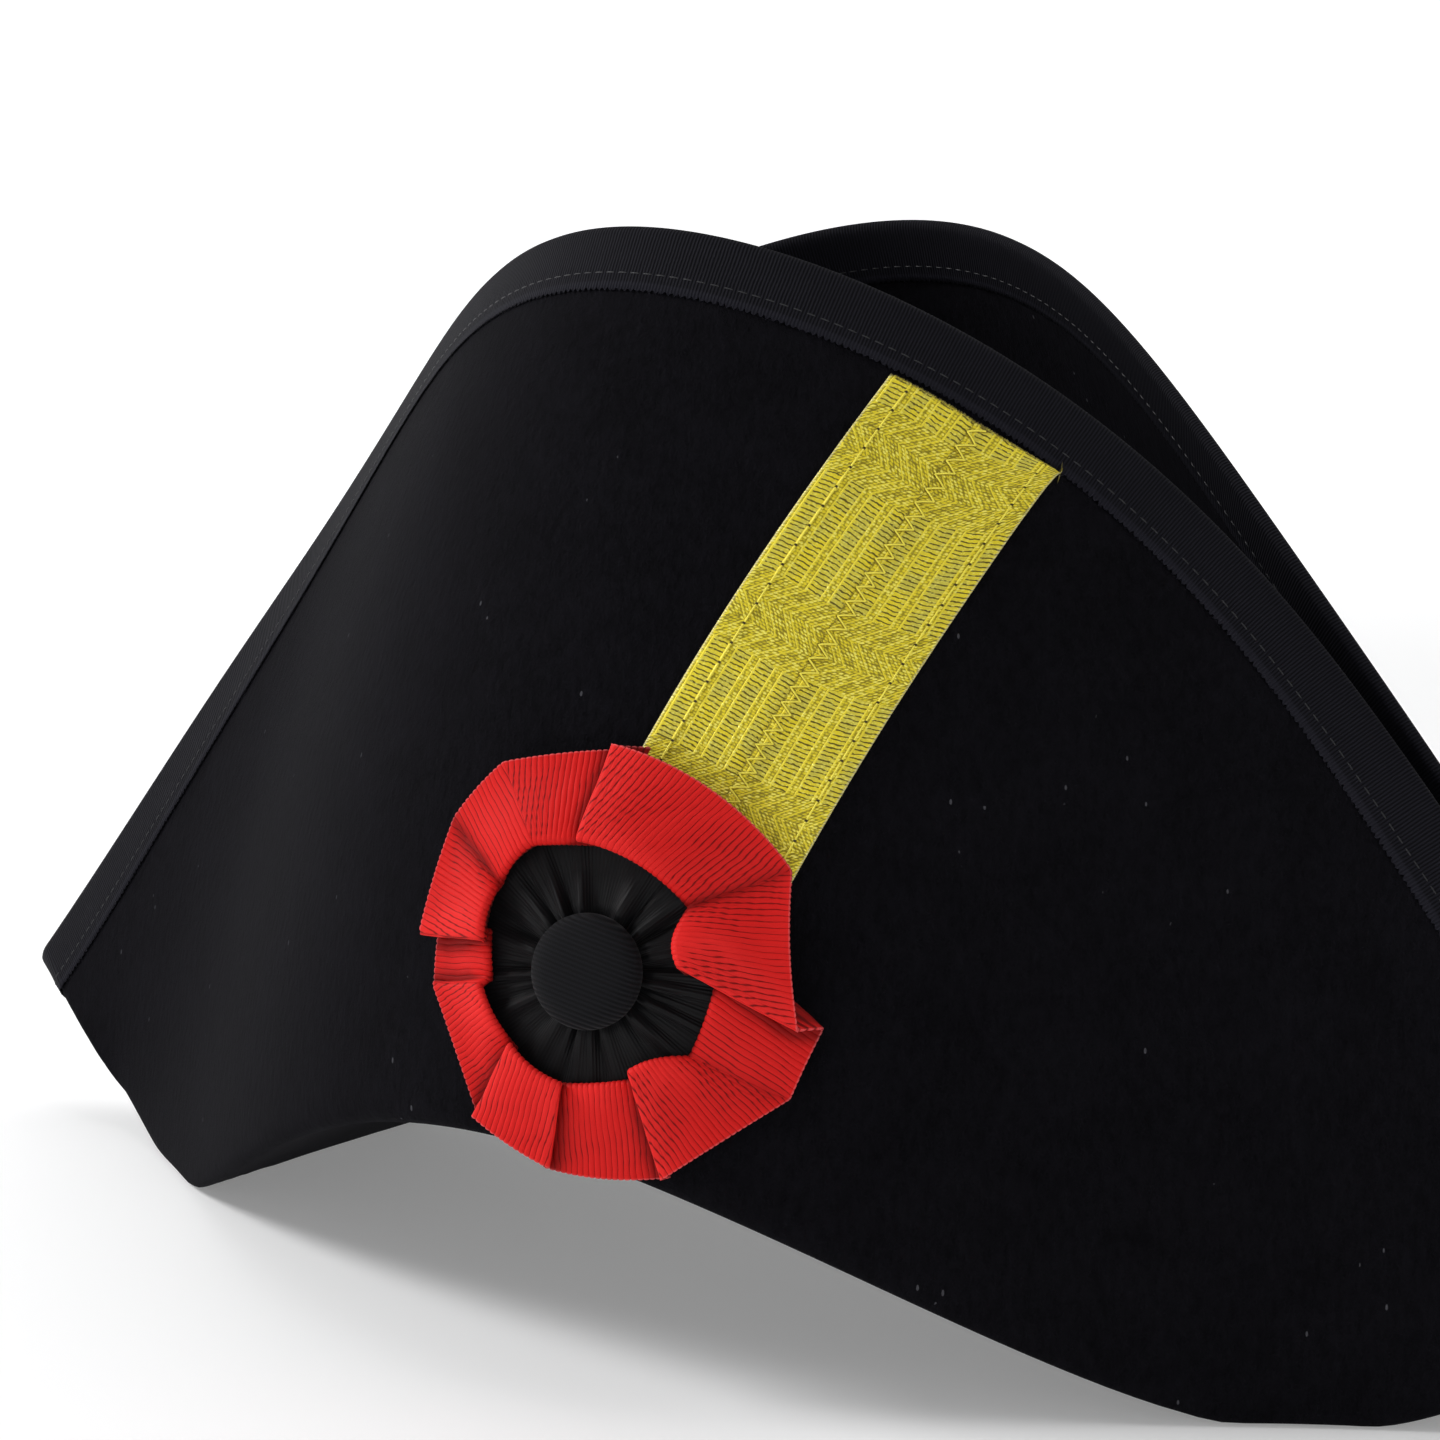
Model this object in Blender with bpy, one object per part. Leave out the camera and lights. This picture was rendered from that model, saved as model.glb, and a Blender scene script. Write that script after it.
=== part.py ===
"""A bicorne hat: felt crown and turned-up brim, ribbon binding, metallic braid and a ribbon cockade.

+X runs from horn to horn, -Y is the front, +Z is up, in metres. The hat rests on the plane z = 0 on the
undersides of its two horns, and the origin is at the bottom centre of its box.
"""

import math

import bmesh
import bpy
import numpy as np
from mathutils import Vector
from mathutils.bvhtree import BVHTree

MM = 0.001

# Cloth and felt
FELT_WALL = 2.2 * MM
BINDING_WALL = 0.8 * MM
BRAID_WALL = 1.0 * MM
RIBBON_WALL = 0.8 * MM
CLEARANCE = 0.3 * MM  # between neighbouring pieces
BRAID_SEAT = 0.45 * MM  # of the braid's underside over the felt, whose facets it crosses

# Crown, to the middle of the felt
CROWN_HALF_WIDTH = 83.0 * MM
CROWN_HALF_LENGTH = 101.0 * MM
CROWN_TOP = 165.0 * MM
CROWN_FULLNESS = 2.6  # 2 is a plain dome, more is squarer at the shoulder

# Brim edge, to the middle of the felt
HORN_REACH = 231.0 * MM
HORN_TIP_HEIGHT = 38.0 * MM
HORN_NOSE = 4.5 * MM  # radius that the brim turns in at a horn's tip
FRONT_EDGE_HEIGHT = 235.0 * MM
FRONT_EDGE_DEPTH = 60.0 * MM
REAR_EDGE_HEIGHT = 240.3 * MM
REAR_EDGE_DEPTH = 58.6 * MM
EDGE_PINCH = 5.4  # how quickly the two edges close together towards the horns

# Fold at the foot of the flaps, to the middle of the felt
FOLD_HALF_DEPTH = 111.0 * MM
FOLD_INSET = 31.0 * MM  # how far short of the horn's tip the folds of the two flaps meet in its keel
FOLD_REACH = HORN_REACH - FOLD_INSET
FOLD_NOSE = 7.0 * MM  # half-width and length of the rounded keel there
FOLD_PINCH = 1.7  # how quickly the two folds close together towards the horns
FOLD_RADIUS = 7.0 * MM
FOLD_SHARE = 0.36  # most of a narrow floor that one fillet may take
ARCH_HEIGHT = 50.5 * MM  # rise of the fold at the front and rear centre
ARCH_INSET = 91.0 * MM  # how far inside the horn's tip the arch comes down to the resting plane
ARCH_REACH = HORN_REACH - ARCH_INSET
ARCH_FALL = 1.3
KEEL_LENGTH = 66.0 * MM  # end of the horn whose underside rises from the resting plane to the tip
KEEL_START = HORN_REACH - KEEL_LENGTH
KEEL_CURVE = 1.4
FLAP_BULGE = 1.75  # how convex the flaps are from fold to edge
FLAT_WITHIN = 0.15 * MM  # felt this close to the resting plane lies on it

# Ribbon binding round the whole edge
BINDING_WIDTH = 14.5 * MM
BINDING_CROWN = 0.5 * MM  # extra roundness over the edge
BINDING_LIP = ((0.6, 0.75), (1.0, 0.3), (1.0, -0.3), (0.6, -0.75))  # (share of lip, of half-thickness)
BINDING_SLOPE_AT = 0.85  # share of the way up the flap where the flap's slope under the binding is read

# Braid, from under the cockade to the binding
BRAID_WIDTH = 40.0 * MM
BRAID_GROOVE = 0.4 * MM  # dip along the seam between its two strips
BRAID_OFFSET = 8.0 * MM  # its centre line to the right of the cockade's centre
BRAID_TILT = math.radians(18.4)  # from the vertical, seen from the front
BRAID_END_GAP = 0.5 * MM  # upright gap between its top and the binding
BRAID_END_ROOM = 2.0 * BINDING_WIDTH  # below the edge's highest point, where no part of its top goes

# Cockade
COCKADE_RIGHT = 25.5 * MM  # centre, to the right of the hat's centre
COCKADE_HEIGHT = 88.0 * MM
RUFFLE_RADIUS = 46.0 * MM
RUFFLE_RISE = 6.0 * MM  # highest fold above the lowest
RUFFLE_INNER_SHARE = 0.45  # share of a fold's rise that it has at the inner rim
OVERLAP_SHARE = 0.35  # share of the height between two overlapping panels that each turns towards the other
GATHER_LAP = 1.3 * MM  # how far the gathers run under the ruffle's innermost stretch
GATHER_TUCK = 5.8 * MM  # and under the button
GATHER_RISE = 2.0 * MM
GATHER_COUNT = 15
GATHER_SWELL = ((0.0, 0.25), (0.3, 1.0), (0.6, 0.45), (1.0, 0.2))  # (way across, share of the rise)
BUTTON_RADIUS = 11.8 * MM
BUTTON_HEIGHT = 5.5 * MM
BUTTON_PROFILE = (  # (share of its radius, share of its height)
    (0.0, 0.0),
    (0.93, 0.0),
    (1.0, 0.2),
    (1.0, 0.45),
    (0.94, 0.72),
    (0.75, 0.9),
    (0.4, 0.98),
    (0.0, 1.0),
)
DRAPE = 0.6  # share of the felt's curve that the cockade follows
FELT_MARKS = 9  # marks each way where the felt under the cockade is felt out
MARKS_SHARE = 0.6  # of the ruffle's radius, half the width of the square that they cover
RIBBON_SEAT = BRAID_SEAT + BRAID_WALL + CLEARANCE + RIBBON_WALL / 2  # over the felt and the braid

# Mesh steps
EDGE_STEPS = 14  # spokes from the centre of a flap to the start of a horn's nose
NOSE_STEPS = 3
FOLD_SPREAD = 1.25  # how far the spokes lean outwards from crown to fold
CROWN_RINGS = (0.985, 0.93, 0.8, 0.6, 0.33, 0.0)  # shares of the height over the crown's foot
FLOOR_RINGS = (0.27, 0.53, 0.72)
FLAP_RINGS = (0.25, 0.5, 0.75)
EDGE_RINGS = (1.0, 0.5, 0.0)  # shares of the binding's width in from the edge
BRAID_COLUMNS = (-0.5, -0.39, -0.27, -0.15, -0.04, 0.0, 0.04, 0.15, 0.27, 0.39, 0.5)  # shares of its width
BRAID_STEPS = 22
FLAP_SAMPLES = 80  # along a spoke of a flap, to measure its length
BISECTIONS = 30
GATHER_STEPS = 4  # columns in each gather
BUTTON_STEPS = 24
CREASE_DEGREES = 1.2  # turn that a step between two panels takes
WELD = 0.01 * MM  # points closer than this are one
FAR_FRONT = -2.0 * FOLD_HALF_DEPTH  # where rays towards the front flap start

# The red ruffle's folds, anticlockwise from the right. Angles in degrees at the inner and outer rim; radii
# as shares of RUFFLE_RADIUS and rises as shares of RUFFLE_RISE, before and after the fold; overlap in
# degrees, positive where the panel before the fold lies on top.
RUFFLE_COLUMNS = (
    "inner_angle",
    "outer_angle",
    "inner_before",
    "inner_after",
    "outer_before",
    "outer_after",
    "rise_before",
    "rise_after",
    "overlap",
)
RUFFLE_FOLDS = (
    (30.0, 25.5, 0.55, 0.55, 1.00, 1.00, 0.10, 0.10, 0.0),
    (92.0, 84.0, 0.55, 0.54, 0.99, 0.97, 0.95, 0.10, 3.5),
    (117.0, 112.5, 0.57, 0.57, 0.97, 0.97, 0.60, 0.60, 0.0),
    (138.5, 135.0, 0.54, 0.54, 0.93, 0.93, 0.15, 0.15, 0.0),
    (168.5, 170.5, 0.45, 0.47, 0.81, 0.75, 0.90, 0.15, 3.5),
    (190.8, 186.0, 0.48, 0.48, 0.75, 0.76, 0.05, 0.30, 0.0),
    (227.2, 231.0, 0.48, 0.49, 0.86, 0.86, 0.10, 0.45, 0.0),
    (257.6, 257.0, 0.51, 0.51, 0.89, 0.89, 0.45, 0.15, 0.0),
    (294.6, 292.0, 0.52, 0.52, 0.98, 0.98, 0.15, 0.55, 0.0),
    (320.0, 328.5, 0.58, 0.58, 1.04, 1.04, 0.35, 0.35, 0.0),
    (356.0, 345.5, 0.56, 0.44, 1.06, 0.97, 0.10, 0.95, -4.5),
)
RUFFLE_RINGS = (0.0, 0.2, 0.6, 1.0)
PANEL_STEPS = (0.25, 0.5, 0.75)

# Colours from the photograph, linear
FELT_BLACK = (0.006, 0.006, 0.008)
RIBBON_BLACK = (0.012, 0.012, 0.013)
RIBBON_RED = (0.60, 0.012, 0.014)
BRAID_GOLD = (0.52, 0.42, 0.03)


def clear_scene():
    for obj in list(bpy.data.objects):
        bpy.data.objects.remove(obj, do_unlink=True)


def make_material(name, colour, roughness, metallic=0.0):
    material = bpy.data.materials.new(name)
    material.use_nodes = True
    shader = material.node_tree.nodes["Principled BSDF"]
    shader.inputs["Base Color"].default_value = (*colour, 1.0)
    shader.inputs["Roughness"].default_value = roughness
    shader.inputs["Metallic"].default_value = metallic
    return material


def add_object(name, bm, material):
    """Makes the finished bmesh one object with its faces pointing out."""
    bmesh.ops.recalc_face_normals(bm, faces=bm.faces)
    mesh = bpy.data.meshes.new(name)
    bm.to_mesh(mesh)
    bm.free()
    mesh.shade_smooth()
    mesh.materials.append(material)
    obj = bpy.data.objects.new(name, mesh)
    bpy.context.scene.collection.objects.link(obj)
    return obj


def unit(vectors):
    return vectors / np.linalg.norm(vectors, axis=-1, keepdims=True)


def add_rows(bm, grid):
    """Bmesh vertices for a grid of points, [row][column]."""
    return [[bm.verts.new(point) for point in row] for row in grid]


def join_rows(bm, row, next_row, closed, lean=True):
    """Triangles between two rows of vertices. Pieces that lie on each other lean their diagonals alike."""
    count = len(row)
    for i in range(count if closed else count - 1):
        j = (i + 1) % count
        if lean:
            bm.faces.new((row[i], row[j], next_row[j]))
            bm.faces.new((row[i], next_row[j], next_row[i]))
        else:
            bm.faces.new((row[i], row[j], next_row[i]))
            bm.faces.new((row[j], next_row[j], next_row[i]))


def join_grid(bm, rows, closed):
    for row, next_row in zip(rows, rows[1:]):
        join_rows(bm, row, next_row, closed)


def sheet_solid(top, bottom, closed):
    """One closed body between two grids of points. Closed grids run all the way round in their columns."""
    bm = bmesh.new()
    upper = add_rows(bm, top)
    lower = add_rows(bm, bottom)
    join_grid(bm, upper, closed)
    join_grid(bm, lower, closed)
    join_rows(bm, upper[0], lower[0], closed)
    join_rows(bm, upper[-1], lower[-1], closed)
    if not closed:
        join_rows(bm, [row[0] for row in upper], [row[0] for row in lower], False)
        join_rows(bm, [row[-1] for row in upper], [row[-1] for row in lower], False)
    return bm


def arch(x):
    """Height of the felt's underside over the resting plane, at a distance from the centre."""
    arched = ARCH_HEIGHT * math.cos(math.pi / 2 * min(x / ARCH_REACH, 1.0)) ** ARCH_FALL
    keel = max(x - KEEL_START, 0.0) / (HORN_REACH - KEEL_START)
    return arched + HORN_TIP_HEIGHT * keel**KEEL_CURVE


def fold_depth(x):
    """Depth of the fold from the hat's middle plane."""
    fall = math.cos(math.pi / 2 * x / HORN_REACH)
    return math.hypot(FOLD_NOSE, FOLD_HALF_DEPTH * fall**FOLD_PINCH)


def edge_point(along, height, depth):
    """Point on the brim's edge, along = 0 at the flap's centre and 1 at the horn's nose."""
    reach = HORN_REACH - HORN_NOSE
    fall = math.cos(math.pi / 2 * along * reach / HORN_REACH)
    y = math.hypot(HORN_NOSE, depth * fall**EDGE_PINCH)
    return np.array((along * reach, y, HORN_TIP_HEIGHT + (height - HORN_TIP_HEIGHT) * fall))


def spoke_anchors(step, height, depth):
    """The crown's foot, the fold's corner and the edge on one spoke of a quarter, all at x and y >= 0."""
    nose = max(step - EDGE_STEPS, 0) / NOSE_STEPS * math.pi / 2
    along = min(step / EDGE_STEPS, 1.0)
    turn = step / (EDGE_STEPS + NOSE_STEPS) * math.pi / 2
    foot = np.array((CROWN_HALF_WIDTH * math.sin(turn), CROWN_HALF_LENGTH * math.cos(turn), 0.0))
    fold_x = (FOLD_REACH - FOLD_NOSE) * math.sin(math.pi / 2 * along) ** FOLD_SPREAD
    fold = np.array((fold_x, fold_depth(fold_x), 0.0))
    edge = edge_point(along, height, depth)
    if nose:
        fold = np.array((fold_x + FOLD_NOSE * math.sin(nose), fold[1] * math.cos(nose), 0.0))
        nose_drop = (edge[2] - HORN_TIP_HEIGHT) * math.sin(nose)
        edge += (HORN_NOSE * math.sin(nose), edge[1] * (math.cos(nose) - 1.0), -nose_drop)
    foot[2] = arch(foot[0]) + FELT_WALL / 2
    fold[2] = arch(fold[0]) + FELT_WALL / 2
    return turn, foot, fold, edge


def corner_points(start, corner, end):
    """The middle and the end of a fillet, as a quadratic curve."""
    return [(start + 2 * corner + end) / 4, end]


def flap_point(fold, edge, share):
    """Point between the fold's corner and the edge. The flap leaves the fold upright and leans over."""
    point = fold + (edge - fold) * share
    point[1] = fold[1] + (edge[1] - fold[1]) * share**FLAP_BULGE
    return point


def flap_points(fold, edge, start_share, inset):
    """Rings of the flap by distance from the edge; inset is the binding's width measured along the spoke."""
    shares = np.linspace(start_share, 1.0, FLAP_SAMPLES)
    line = np.array([flap_point(fold, edge, share) for share in shares])
    lengths = np.concatenate(([0.0], np.cumsum(np.linalg.norm(np.diff(line, axis=0), axis=1))))
    clear = lengths[-1] - inset
    wanted = [clear * share for share in FLAP_RINGS]
    wanted += [lengths[-1] - inset * share for share in EDGE_RINGS]
    return [np.array([np.interp(at, lengths, line[:, k]) for k in range(3)]) for at in wanted]


def spoke_points(step, height, depth, inset):
    """The middle of the felt from the crown's first ring to the brim's edge, on one spoke of a quarter."""
    turn, foot, fold, edge = spoke_anchors(step, height, depth)
    run = fold - foot
    flat = np.array((run[0], run[1], 0.0))
    radius = min(FOLD_RADIUS, FOLD_SHARE * np.linalg.norm(flat))
    step_out = unit(flat) * radius
    wall_foot = foot + (0.0, 0.0, radius)
    points = []
    for share in CROWN_RINGS:
        spread = (1.0 - share**CROWN_FULLNESS) ** (1.0 / CROWN_FULLNESS)
        rise = wall_foot[2] + (CROWN_TOP - wall_foot[2]) * share
        points.append(np.array((foot[0] * spread, foot[1] * spread, rise)))

    def floor(point):
        return np.array((point[0], point[1], arch(point[0]) + FELT_WALL / 2))

    start = floor(foot + step_out)
    end = floor(fold - step_out)
    points += corner_points(wall_foot, foot, start)
    points += [floor(start + (end - start) * share) for share in FLOOR_RINGS]
    points.append(end)
    start_share = radius / np.linalg.norm(edge - fold)
    points += corner_points(end, fold, flap_point(fold, edge, start_share))
    return points + flap_points(fold, edge, start_share, inset)


def quarter_insets(height, depth):
    """The binding's width measured along each spoke, so that it is even when measured square to the edge."""
    count = EDGE_STEPS + NOSE_STEPS
    anchors = [spoke_anchors(step, height, depth) for step in range(count + 1)]
    insets = []
    for step in range(count + 1):
        before = anchors[max(step - 1, 0)][3]
        after = anchors[min(step + 1, count)][3]
        _, _, fold, edge = anchors[step]
        along_edge = unit(after - before)
        if step in (0, count):
            along_edge = np.array((1.0, 0.0, 0.0)) if step == 0 else np.array((0.0, 1.0, 0.0))
        along_spoke = unit(edge - flap_point(fold, edge, BINDING_SLOPE_AT))
        insets.append(BINDING_WIDTH / np.linalg.norm(np.cross(along_edge, along_spoke)))
    return insets


def felt_surface():
    """The middle of the felt as [ring][spoke], anticlockwise from the front centre, and its normals."""
    count = EDGE_STEPS + NOSE_STEPS
    flaps = {}
    for side, height, depth in (
        (-1, FRONT_EDGE_HEIGHT, FRONT_EDGE_DEPTH),
        (1, REAR_EDGE_HEIGHT, REAR_EDGE_DEPTH),
    ):
        insets = quarter_insets(height, depth)
        flaps[side] = [np.array(spoke_points(k, height, depth, insets[k])) for k in range(count + 1)]
    spokes = [flaps[-1][k] * (1, -1, 1) for k in range(count)]
    spokes += [flaps[1][k] * (1, 1, 1) for k in range(count, 0, -1)]
    spokes += [flaps[1][k] * (-1, 1, 1) for k in range(count)]
    spokes += [flaps[-1][k] * (-1, -1, 1) for k in range(count, 0, -1)]
    middle = np.array(spokes).transpose(1, 0, 2)
    around = np.roll(middle, -1, axis=1) - np.roll(middle, 1, axis=1)
    outward = np.gradient(middle, axis=0)
    return middle, unit(np.cross(outward, around))


def felt_side(middle, normals, offset):
    """A parallel surface. Negative offsets are the underside, which faces out on the flaps."""
    side = middle + normals * offset
    side[..., 2] = np.where(side[..., 2] < FLAT_WITHIN, 0.0, side[..., 2])
    return side


def make_felt(middle, normals):
    top = felt_side(middle, normals, FELT_WALL / 2)
    under = felt_side(middle, normals, -FELT_WALL / 2)
    bm = bmesh.new()
    edges = []
    for side, offset in ((top, FELT_WALL / 2), (under, -FELT_WALL / 2)):
        rows = add_rows(bm, side)
        join_grid(bm, rows, True)
        pole = bm.verts.new((0.0, 0.0, CROWN_TOP + offset))
        for i, vert in enumerate(rows[0]):
            bm.faces.new((vert, rows[0][(i + 1) % len(rows[0])], pole))
        edges.append(rows[-1])
    join_rows(bm, edges[0], edges[1], True)
    return add_object("felt_body", bm, make_material("felt", FELT_BLACK, 0.95))


def make_binding(middle, normals):
    """A U-shaped ribbon over the edge, its two limbs parallel to the felt under them.

    Returns the line on the felt under its lower edge.
    """
    rings = middle[-len(EDGE_RINGS) :]
    ring_normals = normals[-len(EDGE_RINGS) :]
    outward = unit(rings[-1] - rings[-2])
    inner = FELT_WALL / 2 + CLEARANCE
    outer = inner + BINDING_WALL
    lip = CLEARANCE + BINDING_WALL + BINDING_CROWN
    edge = rings[-1]
    edge_normal = ring_normals[-1]
    count = len(rings)
    section = [rings[k] + ring_normals[k] * outer for k in range(count)]
    for reach, spread in BINDING_LIP:
        section.append(edge + outward * lip * reach + edge_normal * outer * spread)
    far_limb = len(section)
    section += [rings[k] - ring_normals[k] * outer for k in reversed(range(count))]
    inside = len(section)
    section += [rings[k] - ring_normals[k] * inner for k in range(count - 1)]
    section.append(edge + outward * CLEARANCE - edge_normal * inner)
    near_limb = len(section)
    section.append(edge + outward * CLEARANCE + edge_normal * inner)
    section += [rings[k] + ring_normals[k] * inner for k in reversed(range(count - 1))]
    bm = bmesh.new()
    rows = add_rows(bm, section)
    for k, row in enumerate(rows):
        towards_edge = k < far_limb or inside <= k < near_limb
        join_rows(bm, row, rows[(k + 1) % len(rows)], True, towards_edge)
    add_object("brim_binding", bm, make_material("binding", RIBBON_BLACK, 0.7))
    return rings[0] - ring_normals[0] * FELT_WALL / 2


def first_hit(tree, origin, direction):
    """Where a ray meets the felt, with the face's normal turned against the ray."""
    point, normal, _, _ = tree.ray_cast(Vector(origin), Vector(direction))
    if point is None:
        raise ValueError("no felt lies under this piece")
    normal = np.array(normal)
    return np.array(point), normal if normal @ direction < 0 else -normal


def cockade_frame(tree):
    """Centre, right, up and outward axes of the cockade on the front flap, and the felt's curve under it."""
    reach = MARKS_SHARE * RUFFLE_RADIUS
    back = np.array((0.0, 1.0, 0.0))

    def front(right, up):
        start = (COCKADE_RIGHT + right, FAR_FRONT, COCKADE_HEIGHT + up)
        return first_hit(tree, start, back)[0]

    centre = front(0.0, 0.0)
    across = front(reach, 0.0) - front(-reach, 0.0)
    upright = front(0.0, reach) - front(0.0, -reach)
    out = unit(np.cross(across, upright))
    right = unit(across)
    up = np.cross(out, right)
    sides = front(reach, 0.0) + front(-reach, 0.0)
    ends = front(0.0, reach) + front(0.0, -reach)
    curves = [max((centre - pair / 2) @ out, 0.0) / reach**2 for pair in (sides, ends)]
    cockade = centre, right, up, out, curves
    steps = np.linspace(-reach, reach, FELT_MARKS)
    marks = [front(a, b) - centre for a in steps for b in steps]
    lift = max(mark @ out - base_height(cockade, mark @ right, mark @ up) for mark in marks)
    return centre + out * lift, right, up, out, curves


def base_height(cockade, across, up):
    """How far the cockade's base lies under its own plane, following part of the felt's curve."""
    across_curve, up_curve = cockade[4]
    return -DRAPE * (across_curve * across**2 + up_curve * up**2)


def make_braid(tree, binding_line, cockade):
    """A flat band along the flap, from under the cockade up to the binding's lower edge."""
    centre = cockade[0]
    columns = np.array(BRAID_COLUMNS) * BRAID_WIDTH
    dips = np.where(columns == 0.0, BRAID_GROOVE, 0.0)
    run = np.array((math.sin(BRAID_TILT), 0.0, math.cos(BRAID_TILT)))
    foot = np.array((centre[0] + BRAID_OFFSET, FAR_FRONT, centre[2]))
    back = np.array((0.0, 1.0, 0.0))
    front_half = binding_line[binding_line[:, 1] < 0.0]
    front_half = front_half[np.argsort(front_half[:, 0])]

    def spine(distance):
        return first_hit(tree, foot + run * distance, back)[0]

    def on_felt(distance, across):
        ahead = unit(spine(distance + FOLD_RADIUS) - spine(distance - FOLD_RADIUS))
        base, normal = first_hit(tree, foot + run * distance, back)
        out = unit(normal - ahead * (normal @ ahead))
        side = np.cross(ahead, out)
        start = base + side * across + out * BRAID_WIDTH
        return first_hit(tree, start, -out)[0], out

    def top_distance(across):
        low, high = 0.0, FRONT_EDGE_HEIGHT - COCKADE_HEIGHT - BRAID_END_ROOM
        for _ in range(BISECTIONS):
            middle = (low + high) / 2
            point = on_felt(middle, across)[0]
            limit = np.interp(point[0], front_half[:, 0], front_half[:, 2]) - BRAID_END_GAP
            low, high = (middle, high) if point[2] < limit else (low, middle)
        return low

    tops = [top_distance(across) for across in columns]
    upper, lower = [], []
    for step in range(BRAID_STEPS + 1):
        hits = [on_felt(top * step / BRAID_STEPS, across) for top, across in zip(tops, columns)]
        lower.append([point + out * BRAID_SEAT for point, out in hits])
        tops_out = BRAID_SEAT + BRAID_WALL - dips
        upper.append([point + out * lift for (point, out), lift in zip(hits, tops_out)])
    bm = sheet_solid(upper, lower, False)
    return add_object("gold_braid", bm, make_material("gold_braid", BRAID_GOLD, 0.35, 0.8))


def cockade_sheet(cockade, columns, radii_of, rise_of, rings):
    """Points of a ring of ribbon as [ring][column], each column an (angle, column data) pair."""
    centre, right_axis, up_axis, out = cockade[:4]
    grid = []
    for ring in rings:
        row = []
        for column in columns:
            angle, radius = radii_of(column, ring)
            across, up = radius * math.cos(angle), radius * math.sin(angle)
            height = base_height(cockade, across, up) + rise_of(column, ring)
            row.append(centre + right_axis * across + up_axis * up + out * height)
        grid.append(row)
    return np.array(grid)


def ribbon_solid(middle, wall):
    """Gives a closed ring of ribbon its thickness, half to each side."""
    around = np.roll(middle, -1, axis=1) - np.roll(middle, 1, axis=1)
    outward = np.gradient(middle, axis=0)
    normals = unit(np.cross(outward, around))
    return sheet_solid(middle + normals * wall / 2, middle - normals * wall / 2, True)


def ruffle_columns():
    """The ruffle's columns: the turns at each fold, and the steps across each panel between two folds."""
    folds = [dict(zip(RUFFLE_COLUMNS, row)) for row in RUFFLE_FOLDS]
    columns = []

    def add(inner_angle, outer_angle, inner, outer, rise):
        columns.append((inner_angle, outer_angle, inner, outer, rise))

    for fold, following in zip(folds, folds[1:] + folds[:1]):
        angles = fold["inner_angle"], fold["outer_angle"]
        before = fold["inner_before"], fold["outer_before"], fold["rise_before"]
        after = fold["inner_after"], fold["outer_after"], fold["rise_after"]
        lap = abs(fold["overlap"])
        if lap:
            step = (after[2] - before[2]) * OVERLAP_SHARE
            add(angles[0] + lap, angles[1] + lap, *before)
            add(angles[0] + lap, angles[1] + lap, before[0], before[1], before[2] + step)
            add(angles[0] - lap, angles[1] - lap, after[0], after[1], after[2] - step)
            add(angles[0] - lap, angles[1] - lap, *after)
        elif before[2] != after[2]:
            add(angles[0] - CREASE_DEGREES, angles[1] - CREASE_DEGREES, *before)
            add(angles[0] + CREASE_DEGREES, angles[1] + CREASE_DEGREES, *after)
        else:
            add(*angles, *before)
        start = columns[-1]
        next_lap = abs(following["overlap"])
        if not next_lap and following["rise_before"] != following["rise_after"]:
            next_lap = -CREASE_DEGREES
        full_turn = 360.0 if following is folds[0] else 0.0
        end = (
            following["inner_angle"] + next_lap + full_turn,
            following["outer_angle"] + next_lap + full_turn,
            following["inner_before"],
            following["outer_before"],
            following["rise_before"],
        )
        for share in PANEL_STEPS:
            add(*(a + (b - a) * share for a, b in zip(start, end)))
    return columns


def gather_radii():
    """Inner and outer radius of the black gathers, tucked under the button and the red ruffle."""
    inner_shares = [share for fold in RUFFLE_FOLDS for share in fold[2:4]]
    return BUTTON_RADIUS - GATHER_TUCK, RUFFLE_RADIUS * max(inner_shares) + GATHER_LAP


def gather_crest(radius):
    """Height of the gathers' highest folds over the felt, to the middle of the ribbon."""
    hole, reach = gather_radii()
    swell = np.interp((radius - hole) / (reach - hole), *zip(*GATHER_SWELL))
    return RIBBON_SEAT + GATHER_RISE * swell


def make_red_ruffle(cockade):
    def place(column, ring):
        inner_angle, outer_angle, inner, outer, _ = column
        angle = math.radians(inner_angle + (outer_angle - inner_angle) * ring)
        return angle, RUFFLE_RADIUS * (inner + (outer - inner) * ring)

    def rise(column, ring):
        lift = gather_crest(RUFFLE_RADIUS * column[2]) + RIBBON_WALL + CLEARANCE
        base = lift + (RIBBON_SEAT - lift) * ring
        return base + RUFFLE_RISE * column[4] * (RUFFLE_INNER_SHARE + (1.0 - RUFFLE_INNER_SHARE) * ring)

    middle = cockade_sheet(cockade, ruffle_columns(), place, rise, RUFFLE_RINGS)
    bm = ribbon_solid(middle, RIBBON_WALL)
    return add_object("cockade_red_ruffle", bm, make_material("red_ribbon", RIBBON_RED, 0.6))


def make_black_gathers(cockade):
    steps = GATHER_COUNT * GATHER_STEPS
    columns = [2.0 * math.pi * k / steps for k in range(steps)]
    hole, reach = gather_radii()

    def place(column, ring):
        return column, hole + (reach - hole) * ring

    def rise(column, ring):
        wave = 0.5 + 0.5 * math.cos(GATHER_COUNT * column)
        crest = gather_crest(hole + (reach - hole) * ring)
        return RIBBON_SEAT + (crest - RIBBON_SEAT) * wave

    rings = [way for way, _ in GATHER_SWELL]
    middle = cockade_sheet(cockade, columns, place, rise, rings)
    bm = ribbon_solid(middle, RIBBON_WALL)
    return add_object("cockade_black_gathers", bm, make_material("black_ribbon", RIBBON_BLACK, 0.7))


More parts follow.
